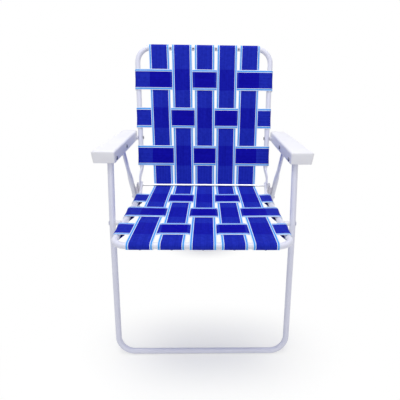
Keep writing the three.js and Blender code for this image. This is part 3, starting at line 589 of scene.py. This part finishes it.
def tubeFrame(node, halfCorners, flat=None):
    # halfCorners are (x in mm, side-view point, bend radius in mm) from the free end to the middle
    oneSide, otherSide = ([(Vector((sign * x * mm, *point)), radius * mm) for x, point, radius in halfCorners]
                          for sign in (-1, 1))
    reach = (flat["length"] + flat["blend"]) * mm if flat else 0
    line = divided(bentLine(oneSide + otherSide[::-1]), reach)
    edges = [(i, i + 1) for i in range(len(line) - 1)]
    obj = meshObject(node + "_tube", [point for point, _ in line], [], enamel, edges)
    sections = [sectionAt(toEnd / mm, flat) for _, toEnd in line]
    for name, values, unit in zip(("wide", "thick", "power"), zip(*sections), (mm, mm, 1)):
        setOnPoints(obj.data, name, [value * unit for value in values])
    grown(obj, tubeMaker, {"Radius": tube["radius"] * mm, "Sides": tube["sides"]})
    finished(smoothed(obj, "tube"), "tube_enamel", bodyOf[node], node)


frontLegHalf = seatPanel["halfAt"](seat["behindBolt"]) + 2 * tube["seatOf"] + 2 * clearance + seat["spacer"]
lowerUp = turnedBy(0, 1, -frontLegs["lowerLean"])
upperUp = turnedBy(0, 1, -frontLegs["upperLean"])
frontBar = seatBolt - lowerUp * ((seatBolt.y - barHeight * mm) / lowerUp.y)
tubeFrame("front_leg_frame", [
    (frontLegHalf, armBolt + upperUp * frontLegs["endBeyondBolt"] * mm, 0),
    (frontLegHalf, seatBolt, frontLegs["bendRadius"]),
    (frontLegHalf, frontBar, frontLegs["cornerRadius"]),
])


def rearHalfAt(down):  # the rear legs close in a little from their bolts down to the links' pins
    return lerp(rearLegs["topHalf"], rearLegs["pinHalf"], down / rearLegs["pinDown"])


rearDown = turnedBy(0, -1, rearLegs["lean"])
rearLength = (rearLegBolt.y - barHeight * mm) / -rearDown.y
rearBar = rearLegBolt + rearDown * rearLength
tubeFrame("rear_leg_frame", [
    (rearHalfAt(-rearLegs["endBeyondBolt"]), rearLegBolt - rearDown * rearLegs["endBeyondBolt"] * mm, 0),
    (rearHalfAt(rearLength / mm), rearBar, rearLegs["cornerRadius"]),
], {"width": rearLegs["flatWidth"], "thickness": rearLegs["flatThickness"],
    "length": rearLegs["endBeyondBolt"] + rearLegs["flatLength"], "blend": rearLegs["blend"]})

seatBladeHalf = seat["rearHalf"] + tube["seatOf"] - blade["thickness"] / 2
backBladeHalf = seatBladeHalf + blade["thickness"] + clearance
for shape, bladeHalf in ((seatPanel, seatBladeHalf), (backPanel, backBladeHalf)):
    tubeFrame(shape["name"] + "_frame", [
        (bladeHalf, shape["at"](-blade["tip"], hingeHeight), 0),
        (bladeHalf, shape["at"](shape["bladeStraight"], hingeHeight), blade["kneeRadius"]),
        (shape["halfAt"](blade["rampEnd"]), shape["at"](blade["rampEnd"], 0), blade["kneeRadius"]),
        (shape["halfAt"](shape["length"]), shape["at"](shape["length"], 0), shape["cornerRadius"]),
    ], {"width": blade["width"], "thickness": blade["thickness"],
        "length": blade["tip"] + blade["flatEnd"], "blend": shape["bladeBlend"]})
print("tube frames made")


# Armrests
arm = {
    "width": 53.3, "wall": 2.7, "top": 21, "bottom": -8.5, "frontOverhang": 21.5, "rearOverhang": 15,
    "slant": 3.6, "toeFront": 5, "toeRear": 7.5, "sideRound": 5, "endRound": 1.8, "lipRound": 1.2,
    "planRadius": 4.5, "leastRadius": 1, "rearTaper": 11, "rearRadius": 16, "cornerSteps": 8,
    "roundSteps": 7, "ribWall": 2, "ribHeight": 9, "ribShares": (0.16, 0.37, 0.58, 0.79), "keelShare": 0.48,
}
armRun = middleOf("arm_rear_nut_left") - armBolt
armSlope = math.atan2(armRun.y, armRun.x)
armLength = arm["frontOverhang"] + armRun.length / mm + arm["rearOverhang"]
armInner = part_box("armrest_left")[0].x


def armRing(z, inset, endInset):  # the rounded plan outline at a height, drawn in at sides and ends
    high = arm["width"] - arm["slant"] * (arm["top"] - z) / (arm["top"] - arm["bottom"]) - inset
    front, rear = -arm["frontOverhang"] + endInset, armLength - arm["frontOverhang"] - endInset
    sharp, blunt = (max(radius - endInset, arm["leastRadius"])
                    for radius in (arm["planRadius"], arm["rearRadius"]))
    ring = []
    for x, y, start, radius in ((high - arm["rearTaper"], rear, 0, blunt), (inset, rear, 90, sharp),
                                (inset, front, 180, sharp), (high, front, 270, sharp)):
        centreX = x + radius if x == inset else x - radius
        centreY = y - radius if y == rear else y + radius
        for k in range(arm["cornerSteps"] + 1):
            angle = math.radians(start + 90 * k / arm["cornerSteps"])
            ring.append((centreX + radius * math.cos(angle), centreY + radius * math.sin(angle), z))
    return ring


def armLevels():  # from the cavity's ceiling, down inside, round the lip, up outside and over the top edge
    quarter = [math.radians(90 * k / arm["roundSteps"]) for k in range(arm["roundSteps"] + 1)]

    def rounding(z, inset, upward, inward):
        return [(z + upward * arm["lipRound"] * (1 - math.sin(a)),
                 inset + inward * arm["lipRound"] * (1 - math.cos(a))) for a in quarter]

    inside = rounding(arm["top"] - arm["wall"], arm["wall"], -1, 1)[::-1]
    lower = rounding(arm["bottom"], arm["wall"], 1, -1)
    outer = rounding(arm["bottom"], 0, 1, 1)[::-1]
    levels = [(z, inset, inset) for z, inset in inside + lower + outer]
    for a in quarter:
        fall = 1 - math.cos(a)
        drop = arm["sideRound"] * (1 - math.sin(a))
        levels.append((arm["top"] - drop, arm["sideRound"] * fall, arm["endRound"] * fall))
    return levels


def toeAt(y):  # how far the inner wall stands inboard there, so that the arm meets the back's tube
    return lerp(arm["toeFront"], arm["toeRear"], min(1, max(0, (y + arm["frontOverhang"]) / armLength)))


def armPlace(sign, point):
    leaned = turnedBy(point[1] * mm, point[2] * mm, math.degrees(armSlope)) + armBolt
    inboard = toeAt(point[1]) * (1 - point[0] / arm["width"])
    return Vector((sign * (armInner + (point[0] - inboard) * mm), *leaned))


def armrest(name, sign):
    body = bodyOf["armrest_" + name]
    rings = [armRing(*level) for level in armLevels()]
    points = [armPlace(sign, point) for ring in rings for point in ring]
    shell = meshObject("armrest_shell_" + name, points, loftFaces(len(rings), len(rings[0])), plastic)
    finished(smoothed(facedOut(shell), "moulded"), "arm_plastic", body, "armrest_" + name)

    # Keel and ribs under the top
    keelAt = arm["width"] * arm["keelShare"]
    ribZ = arm["top"] - arm["wall"] - arm["ribHeight"] / 2
    ribLong = arm["width"] - arm["slant"] - keelAt - arm["wall"]
    ribReach = [ribLong - arm["rearTaper"] * share for share in arm["ribShares"]]
    ribPoints = [armPlace(sign, (keelAt + reach / 2, share * armLength - arm["frontOverhang"], ribZ))
                 for share, reach in zip(arm["ribShares"], ribReach)]
    keelPoint = [armPlace(sign, (keelAt, armLength / 2 - arm["frontOverhang"], ribZ))]
    for label, places, reaches, wallLength in (
            ("ribs", ribPoints, ribReach, arm["ribWall"]),
            ("keel", keelPoint, [arm["ribWall"]], armLength - 2 * arm["wall"])):
        part = meshObject(f"armrest_{label}_{name}", places, [], plastic)
        setOnPoints(part.data, "reach", [reach * mm for reach in reaches])
        grown(part, ribMaker, {
            "Length": wallLength * mm, "Height": arm["ribHeight"] * mm, "Slope": armSlope})
        finished(part, "arm_plastic", body)


for name, sign in sides.items():
    armrest(name, sign)
print("armrests made")


# Turned parts: rod, bolts, studs, rivets, nuts, spacers and bushes, each as long as its node
turned = {
    "segments": 30, "bevel": 0.4, "domeSteps": 7, "rimShare": 0.2, "headHeight": 2.4, "nutHeight": 3.6,
    "flushHeight": 1.1, "hexShare": 0.5, "crownShare": 0.86, "chamferShare": 0.9, "shank": 3, "bore": 3.3,
    "shoulder": 5.2, "rodHeadHeight": 2.8, "rodRadius": 3.25, "rodBore": 3.55, "mergeWithin": 1e-6,
}


def dome(radius, base, height, outward):  # from the axis to a short straight rim
    rim = height * turned["rimShare"]
    angles = [math.pi / 2 * k / turned["domeSteps"] for k in range(turned["domeSteps"] + 1)]
    arc = [(radius * math.sin(a), base + outward * (rim + (height - rim) * math.cos(a))) for a in angles]
    return arc + [(radius, base)]


def headed(radius, *rest):  # a domed head at the inner end, the shank, and what is at its outer end
    base = turned["headHeight"]
    return dome(radius, base, base, -1) + [(turned["shank"], base), *rest]


def nutEnd(length, radius):  # a hexagon under a dome; a third value marks the hexagon
    grip = length - turned["nutHeight"]
    hexTop = grip + turned["nutHeight"] * turned["hexShare"]
    crown = dome(radius, hexTop, turned["nutHeight"] * (1 - turned["hexShare"]), 1)[:-1]
    return [(turned["shank"], grip), (radius, grip, 1), (radius, hexTop - turned["bevel"], 1),
            (radius * turned["chamferShare"], hexTop, 1),
            *[(r * turned["crownShare"], z) for r, z in reversed(crown)]]


def bolt(length, radius):
    return headed(radius, *nutEnd(length, radius))


def stud(length, radius):
    return headed(radius, (turned["shank"], length), (0, length))


def nut(length, radius):
    return [(0, 0), (turned["shank"], 0), *nutEnd(length, radius)]


def flushBolt(length, radius):  # a low rivet head at the outer end
    grip = length - turned["nutHeight"]
    return headed(radius, (turned["shank"], grip), *dome(radius, grip, turned["flushHeight"], 1)[::-1])


def shoulderRivet(length, radius):
    eye = length - turned["rodHeadHeight"]
    return headed(radius, (turned["shank"], eye), (turned["shoulder"], eye), (turned["shoulder"], length),
                  (0, length))


def rod(length, radius):
    head = turned["rodHeadHeight"]
    thin = turned["rodRadius"]
    return dome(radius, head, head, -1) + [(thin, head), (thin, length - head)] + \
        dome(radius, length - head, head, 1)[::-1]


def bush(length, radius, bore=turned["bore"]):
    bevel = turned["bevel"]
    return [(bore, 0), (radius - bevel, 0), (radius, bevel), (radius, length - bevel),
            (radius - bevel, length), (bore, length), (bore, 0)]


def rodBush(length, radius):
    return bush(length, radius, turned["rodBore"])


def turnedPiece(node, sign, profileOf, slotName, material, inner=0, outer=0):
    # inner and outer move the ends that face the chair's middle and its outside, in mm
    low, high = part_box(node)
    middle = (low + high) / 2
    profile = profileOf((high.x - low.x) / mm + outer - inner, (high.z - low.z) / 2 / mm)
    start = (low.x if sign > 0 else high.x) + sign * inner * mm
    segments = turned["segments"]
    points, rings, faces = [], [], []
    for radius, along, *isHex in profile:
        ring = []
        for k in range(segments if radius else 1):
            angle = 2 * math.pi * k / segments
            reach = radius * mm
            if isHex:
                reach *= math.cos(math.pi / 6) / math.cos(angle % (math.pi / 3) - math.pi / 6)
            ring.append(len(points))
            points.append((start + sign * along * mm, middle.y + reach * math.cos(angle),
                           middle.z + reach * math.sin(angle)))
        rings.append(ring)
    for a, b in zip(rings, rings[1:]):
        for k in range(segments):
            n = (k + 1) % segments
            corners = dict.fromkeys((a[k % len(a)], a[n % len(a)], b[n % len(b)], b[k % len(b)]))
            if len(corners) > 2:
                faces.append(tuple(corners))
    obj = facedOut(meshObject(node + "_turned", points, faces, material), turned["mergeWithin"])
    finished(smoothed(obj, "metal"), slotName, bodyOf[node], node)


turnedPiece("hinge_rod", 1, rod, "steel_fittings", rodSteel)
frontToe, middleToe, rearToe = (toeAt((bolted - armBolt).length / mm)
                                for bolted in (armBolt, rearLegBolt, middleOf("arm_rear_nut_left")))
for name, sign in sides.items():
    for node, profileOf, slotName, material, inner, outer in (
            ("front_arm_bolt", bolt, "plated_steel", fastenerSteel, -frontToe, 0),
            ("rear_arm_bolt", bolt, "plated_steel", fastenerSteel, -middleToe, 0),
            ("seat_bolt", flushBolt, "plated_steel", enamel, 0, 0),
            ("back_arm_stud", stud, "plated_steel", fastenerSteel, 0, 0),
            ("arm_rear_nut", nut, "plated_steel", fastenerSteel, 0, 0),
            ("rear_leg_stud", flushBolt, "plated_steel", enamel, 0, 0),
            ("link_rivet", shoulderRivet, "plated_steel", fastenerSteel, 0, 0),
            ("seat_spacer", bush, "spacer_plastic", nylon, 0, 0),
            ("back_spacer", bush, "spacer_plastic", nylon, 0, -rearToe),
            ("hinge_bush", rodBush, "spacer_plastic", nylon, 0, 0),
            ("link_bush", bush, "spacer_plastic", nylon, 0, 0)):
        turnedPiece(f"{node}_{name}", sign, profileOf, slotName, material, inner, outer)

# Link plates, from the hinge rod to the rear legs
link = {"width": 16, "endSteps": 14, "bevel": 0.5, "bevelSteps": 2, "bevelAngle": 50,
        "flangeReach": 7.5, "flangeThickness": 1.8, "flangeTrim": 2}


def linkPlate(name, sign):
    node = "link_" + name
    low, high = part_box(node)
    pin = middleOf("link_rivet_" + name)
    along = (pin - hinge).normalized()
    heading = math.atan2(along.y, along.x)
    outline = []
    for centre, start in ((pin, -90), (hinge, 90)):
        for k in range(link["endSteps"] + 1):
            angle = heading + math.radians(start + 180 * k / link["endSteps"])
            outline.append(centre + Vector((math.cos(angle), math.sin(angle))) * link["width"] / 2 * mm)
    count = len(outline)
    points = [(x, *point) for x in (low.x, high.x) for point in outline]
    faces = loftFaces(2, count)

    # Its front edge is turned outboard into a flange
    forward = Vector((along.y, -along.x))
    near, far = link["width"] / 2 - link["flangeThickness"], link["width"] / 2
    inboard, outboard = sorted((low.x, high.x), key=abs)
    points += [(x, *(end + along * trim * mm + forward * reach * mm))
               for x in (inboard, outboard + sign * link["flangeReach"] * mm)
               for end, trim in ((hinge, link["flangeTrim"]), (pin, -link["flangeTrim"]))
               for reach in (near, far)]
    faces += [tuple(2 * count + k for k in face) for face in (
        (0, 1, 3, 2), (4, 5, 7, 6), (0, 1, 5, 4), (2, 3, 7, 6), (0, 2, 6, 4), (1, 3, 7, 5))]
    obj = facedOut(meshObject(node + "_plate", points, faces, linkSteel))
    edge = obj.modifiers.new("edge", "BEVEL")
    edge.width = link["bevel"] * mm
    edge.segments = link["bevelSteps"]
    edge.limit_method = "ANGLE"
    edge.angle_limit = math.radians(link["bevelAngle"])
    finished(smoothed(obj, "metal"), "steel_fittings", bodyOf[node], node)


for name, sign in sides.items():
    linkPlate(name, sign)
print("rod, links and fasteners made")


# Webbing. A strap is a path of side-on points, and every path point carries the strap's cross section
strap = {
    "width": stripWidth, "thickness": 1.2, "layerGap": 0.3, "tail": 13, "wrapTurn": 208, "wrapSteps": 20,
    "tailSteps": 4, "pathStep": 5, "easeSteps": 8, "tipWidth": 32, "foldStart": 188, "acrossSteps": 20,
    "edgeSteps": 3, "creaseSteps": 18, "sagEase": 20, "flareEase": (30, 10),
}
columns = {"count": 5, "creaseMargin": 29, "seatFrontMargin": 31.7, "backTopMargin": 35.6,
           "creaseOffset": 3, "endOffset": 1}
rowPlaces = {"back": (328.0, 211.3, 93.3), "seat": (99.2, 198.7, 299.7)}
halfStrap = strap["width"] / 2
overTube = tube["seatOf"] + clearance + strap["thickness"] / 2
weaveHeight = (strap["thickness"] + strap["layerGap"]) / 2
creaseRadius = turned["rodRadius"] + clearance + strap["thickness"] / 2


def pitchFor(half, margin):
    return (2 * (half - margin) - strap["width"]) / (columns["count"] - 1)


creasePitch = pitchFor(seat["rearHalf"], columns["creaseMargin"])
seatPanel["endPitch"] = pitchFor(seatPanel["halfAt"](seat["length"]), columns["seatFrontMargin"])
backPanel["endPitch"] = pitchFor(backPanel["halfAt"](back["length"]), columns["backTopMargin"])


def columnAt(column, shape, s):  # the long straps' middles, a little off centre as they were woven
    share = max(0, s) / shape["length"] if shape else 0
    pitch = lerp(creasePitch, shape["endPitch"], share) if shape else creasePitch
    offCentre = lerp(columns["creaseOffset"], columns["endOffset"], share)
    return offCentre + (column - (columns["count"] - 1) / 2) * pitch


def rowsOf(shape):  # (place, row number from the back's top) of the cross straps, from the crease outwards
    first = 0 if shape["name"] == "back" else len(rowPlaces["back"])
    return sorted((place, first + i) for i, place in enumerate(rowPlaces[shape["name"]]))


def rowOnTop(row, column):
    return (row + column) % 2 == 0


def crossSection(halfWidth):  # (offset across, lift off the middle), once round, both edges rounded
    half = strap["thickness"] / 2
    flat = halfWidth - half
    top = [(lerp(-flat, flat, k / strap["acrossSteps"]), half) for k in range(strap["acrossSteps"] + 1)]
    angles = [math.pi * k / (strap["edgeSteps"] + 1) for k in range(1, strap["edgeSteps"] + 1)]
    edge = [(flat + half * math.sin(a), half * math.cos(a)) for a in angles]
    return top + edge + [(x, -y) for x, y in reversed(top)] + [(-x, -y) for x, y in edge]


def wrapPath(barAt, outward):
    # From the top of a bar, over and round it, to the tail's end. Points are (place, height, half width)
    full, foldStart, tail = strap["wrapTurn"], strap["foldStart"], strap["tail"]
    foldLength = math.radians(full - foldStart) * overTube + tail
    stations = [(full * k / strap["wrapSteps"], 0) for k in range(strap["wrapSteps"] + 1)]
    stations += [(full, tail * k / strap["tailSteps"]) for k in range(1, strap["tailSteps"] + 1)]
    points = []
    for turn, reach in stations:
        angle = math.radians(90 + turn)
        folded = (max(0, math.radians(turn - foldStart)) * overTube + reach) / foldLength
        points.append((barAt + outward * (reach * math.sin(angle) - overTube * math.cos(angle)),
                       overTube * math.sin(angle) + reach * math.cos(angle),
                       lerp(strap["width"], strap["tipWidth"], folded) / 2))
    return points


def weavePath(crossings):  # over and under: level across each crossing, eased between them
    points = []
    for i, (low, high, height) in enumerate(crossings):
        if i > 0:
            _, lastHigh, lastHeight = crossings[i - 1]
            shares = [k / strap["easeSteps"] for k in range(1, strap["easeSteps"])]
            points += [(lerp(lastHigh, low, share), lerp(lastHeight, height, smoothShare(share, 0, 1)))
                       for share in shares]
        steps = max(1, round((high - low) / strap["pathStep"]))
        points += [(lerp(low, high, k / steps), height) for k in range(steps + 1)]
    return [(place, overTube + height, halfStrap) for place, height in points]


def spread(path):  # extra points where two neighbours are far apart
    result = [path[0]]
    for a, b in zip(path, path[1:]):
        count = max(1, math.ceil(math.hypot(b[0] - a[0], b[1] - a[1]) / strap["pathStep"]))
        result += [tuple(lerp(u, v, k / count) for u, v in zip(a, b)) for k in range(1, count + 1)]
    return result


def strapMesh(name, path, place, contact):
    # path holds (a, b, half width) in a flat plane. place turns (a, b, offset, point index) into a 3-D point
    # and how far inside a crossing strap it lies, in mm, which masks the painted shade where straps cross. The
    # last argument sets how strong that painted shade is on this strap
    points, covered, sections, travelled = [], [], [], [0.0]
    for before, after in zip(path, path[1:]):
        travelled.append(travelled[-1] + math.hypot(after[0] - before[0], after[1] - before[1]))
    for i, (a, b, halfWidth) in enumerate(path):
        before, after = path[max(0, i - 1)], path[min(len(path) - 1, i + 1)]
        length = math.hypot(after[0] - before[0], after[1] - before[1])
        normal = ((before[1] - after[1]) / length, (after[0] - before[0]) / length)
        sections.append(crossSection(halfWidth))
        for offset, lift in sections[-1]:
            point, inside = place(a + normal[0] * lift, b + normal[1] * lift, offset, i)
            points.append(point)
            covered.append(inside)
    count = len(sections[0])
    obj = meshObject(name, points, loftFaces(len(path), count), webbing)
    layer = obj.data.uv_layers.new(name="weave")
    for loop in obj.data.loops:
        station, around = divmod(loop.vertex_index, count)
        layer.data[loop.index].uv = (sections[station][around][0] / strap["width"] + 0.5,
                                     travelled[station] / strap["width"])
    setOnPoints(obj.data, "covered", covered)
    setOnPoints(obj.data, "contact", [contact] * len(points))
    return smoothed(facedOut(obj), "web"), travelled[-1]


def declareStrap(nodes):
    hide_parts(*nodes)


strapScrew = {"head": 3.1, "washer": 5.2, "washerThickness": 0.55, "turn": 196, "stand": 0.9}
screwPoints = {"seat": [], "back": []}  # (point, facing) of each strap screw, by body
screwAngle = math.radians(90 + strapScrew["turn"])
screwReach = overTube + strap["thickness"] / 2 + strapScrew["stand"]


def rowStrap(shape, place, row, number):
    half = shape["halfAt"](place)
    margin = halfStrap + clearance
    crossed = [columnAt(column, shape, place) for column in range(columns["count"])]
    crossings = [(x - margin, x + margin, weaveHeight if rowOnTop(row, column) else -weaveHeight)
                 for column, x in enumerate(crossed)]
    path = spread(wrapPath(-half, -1)[::-1] + weavePath(crossings) + wrapPath(half, 1))
    flarePerMm = shape["flare"] / shape["length"]
    flareStart, flareEnd = (half - ease for ease in strap["flareEase"])

    def at(x, h, offset, _):
        s = place + offset
        lifted = h - shape["sagAt"](s, x) * smoothShare(half - abs(x), 0, strap["sagEase"])
        flared = flarePerMm * offset * smoothShare(abs(x), flareStart, flareEnd)
        inside = halfStrap - min(abs(x - middle) for middle in crossed) if h > 0 else -strap["width"]
        return Vector(((x + math.copysign(flared, x)) * mm, *shape["at"](s, lifted))), inside

    body = shape["name"]
    node = f"{body}_row_{number}"
    obj, length = strapMesh(node + "_strap", path, at, webLook["rowContact"])
    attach(obj, body)
    declareStrap([node])
    for sign in (-1, 1):
        outward = Vector((-sign * math.cos(screwAngle), math.sin(screwAngle)))
        point, _ = at(sign * half + outward.x * screwReach, outward.y * screwReach, 0, 0)
        screwPoints[body].append((point, (outward.x, *(shape["up"] * outward.y))))


def columnStrap(column):
    margin = halfStrap + clearance

    def stationsOf(shape):  # from the crease to the tail: (y, z, half width, panel, s), in mm from the hinge
        crossings = [(s - margin, s + margin, -weaveHeight if rowOnTop(row, column) else weaveHeight)
                     for s, row in rowsOf(shape)]
        path = [(0, overTube, halfStrap)] + weavePath(crossings) + wrapPath(shape["length"], 1)
        return [(*((shape["at"](s, h) - hinge) / mm), half, shape, s) for s, h, half in spread(path)]

    rounding = math.pi - seatPanel["along"].angle(backPanel["along"])
    turns = [math.degrees(rounding) * k / strap["creaseSteps"] for k in range(1, strap["creaseSteps"])]
    crease = [(*(turnedBy(*-backPanel["up"], turn) * creaseRadius), halfStrap, None, 0) for turn in turns]
    stations = stationsOf(backPanel)[::-1] + crease + stationsOf(seatPanel)

    def at(y, z, offset, i):
        shape, s = stations[i][3:]
        x = offset + columnAt(column, shape, s)
        point = hinge + Vector((y, z)) * mm
        if not shape:
            return Vector((x * mm, *point)), -strap["width"]
        onBar = smoothShare(s, shape["length"] - shape["cornerRadius"], shape["length"] - 2 * overTube)
        point -= shape["along"] * onBar * shape["setback"](x) * mm
        sag = shape["sagAt"](s, x) * smoothShare(shape["length"] - s, 0, strap["sagEase"])
        point -= shape["up"] * sag * mm
        inside = halfStrap - min(abs(s - rowAt) for rowAt in rowPlaces[shape["name"]])
        return Vector((x * mm, *point)), inside

    name = f"column_{column + 1}"
    path = [station[:3] for station in stations]
    obj, length = strapMesh(name + "_strap", path, at, webLook["columnContact"])
    declareStrap(["back_" + name, "seat_" + name])
    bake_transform(obj)
    for shape in (backPanel, seatPanel):
        x = columnAt(column, shape, shape["length"])
        s = shape["length"] - shape["setback"](x) - screwReach * math.cos(screwAngle)
        point = shape["at"](s, screwReach * math.sin(screwAngle))
        facing = shape["up"] * math.sin(screwAngle) - shape["along"] * math.cos(screwAngle)
        screwPoints[shape["name"]].append(((x * mm, *point), (0, *facing)))


for shape in (backPanel, seatPanel):
    firstRow = min(row for _, row in rowsOf(shape))
    for i, place in enumerate(rowPlaces[shape["name"]]):
        rowStrap(shape, place, firstRow + i, i + 1)
for column in range(columns["count"]):
    columnStrap(column)
print("webbing made")

# Screws and washers that hold the folded strap ends, and small dark screws in the top bar between the long straps,
# set where the tube's underside is only in shade: painted shade
barScrew = {"head": 2.5, "washer": 2.8, "washerThickness": 0.4, "below": 20}


def addScrews(name, body, look, places, seed):
    obj = meshObject(name, [point for point, _ in places], [], fastenerSteel)
    setOnPoints(obj.data, "facing", [value for _, facing in places for value in facing], "FLOAT_VECTOR")
    grown(obj, screwMaker, {
        "Head Radius": look["head"] * mm, "Washer Radius": look["washer"] * mm,
        "Washer Thickness": look["washerThickness"] * mm, "Seed": seed})
    finished(smoothed(obj, "tube"), "plated_steel", body)


for seed, (body, places) in enumerate(screwPoints.items()):
    addScrews(body + "_strap_screws", body, strapScrew, places, seed)
tilt = math.radians(barScrew["below"])
facing = backPanel["up"] * math.cos(tilt) - backPanel["along"] * math.sin(tilt)
barPoint = backPanel["at"](back["length"], 0) + facing * tube["radius"] * mm
gapPlaces = [columnAt(gap + 0.5, backPanel, back["length"]) for gap in range(columns["count"] - 1)]
addScrews("top_bar_screws", "back", barScrew, [((x * mm, *barPoint), (0, *facing)) for x in gapPlaces],
          len(screwPoints))
print("screws made")

# Floor, backdrop and light
stageLook = {
    "floorHalf": 30, "floorDrop": 0.15 * mm, "floorColour": "#fafaf2", "paperGain": 1.25,
    "nearGlow": 0.25, "frontShadow": 0.26, "frontAhead": 0.04, "rearShadow": 0.08, "shadowStretch": 0.45,
    "worldStrength": 0.5, "worldColour": "#efeffb", "white": "#ffffff", "cameraWhite": 1.0,
    "lampAim": (0, 0, 0.4),
}
lamps = {
    "key": {"place": (-0.15, -0.1, 2.5), "size": 1.5, "power": 29.5},
    "fill": {"place": (0.3, -2.5, 1.3), "size": 1.6, "power": 9.4},
}


def cameraOrMirror(add):  # 1 for what the camera sees, directly, mirrored or through
    path = add("ShaderNodeLightPath").outputs
    first = add("ShaderNodeMath", {
        0: path["Is Camera Ray"], 1: path["Is Glossy Ray"]}, operation="MAXIMUM")
    return add("ShaderNodeMath", {0: first, 1: path["Is Transmission Ray"]}, operation="MAXIMUM")


def paperSurface(add, given, look):
    # To the camera the lit paper is as white as the backdrop, so only real shadows show on it
    seen = cameraOrMirror(add)
    gain = add("ShaderNodeMapRange", {"Value": seen, "To Min": 1.0, "To Max": look["paperGain"]})
    paper = add("ShaderNodeVectorMath", {
        0: linearColour(look["floorColour"])[:3], "Scale": gain}, operation="SCALE")
    diffuse = add("ShaderNodeBsdfDiffuse", {"Color": paper})
    glow = add("ShaderNodeEmission", {"Color": look["white"], "Strength": look["cameraWhite"]})
    # The paper shows its shadows round the two floor bars and fades to white away from them
    narrowed = add("ShaderNodeVectorMath", {
        0: given["Object"], 1: (look["shadowStretch"], 1.0, 1.0)}, operation="MULTIPLY")

    def fadeFrom(y, reach):
        away = add("ShaderNodeVectorMath", {0: narrowed, 1: (0, y, 0)}, operation="DISTANCE")
        return add("ShaderNodeMapRange", {
            "Value": away, "From Max": reach, "To Min": look["nearGlow"]}, interpolation_type="SMOOTHSTEP")

    fade = add("ShaderNodeMath", {
        0: fadeFrom(frontBar.x - look["frontAhead"], look["frontShadow"]),
        1: fadeFrom(rearBar.x, look["rearShadow"])}, operation="MINIMUM")
    share = add("ShaderNodeMath", {0: seen, 1: fade}, operation="MULTIPLY")
    return add("ShaderNodeMixShader", {0: share, 1: diffuse, 2: glow})


def addFloor(look):
    half = look["floorHalf"]
    corners = [(-half, -half, 0), (half, -half, 0), (half, half, 0), (-half, half, 0)]
    floor = meshObject("floor", corners, [(0, 1, 2, 3)], newMaterial("paperFloor", paperSurface, look))
    floor.location.z = -look["floorDrop"]


def addWorld(look):
    world = bpy.data.worlds.new("studio")
    add = adderFor(world)
    seen = cameraOrMirror(add)
    strength = add("ShaderNodeMapRange", {
        "Value": seen, "To Min": look["worldStrength"], "To Max": look["cameraWhite"]})
    colour = add("ShaderNodeMix", {0: seen, 6: look["worldColour"], 7: look["white"]}, data_type="RGBA")
    sky = add("ShaderNodeBackground", {"Color": colour, "Strength": strength})
    add("ShaderNodeOutputWorld", {"Surface": sky})
    bpy.context.scene.world = world


def addLamp(name, look, aim):
    data = bpy.data.lights.new(name, "AREA")
    data.size = look["size"]
    data.energy = look["power"]
    lamp = newObject(name, data)
    lamp.location = look["place"]
    lamp.rotation_euler = (Vector(aim) - Vector(look["place"])).to_track_quat("-Z", "Y").to_euler()


addFloor(stageLook)
addWorld(stageLook)
for name, look in lamps.items():
    addLamp(name, look, stageLook["lampAim"])
bpy.context.scene.view_settings.view_transform = "Standard"
print("stage and light set")
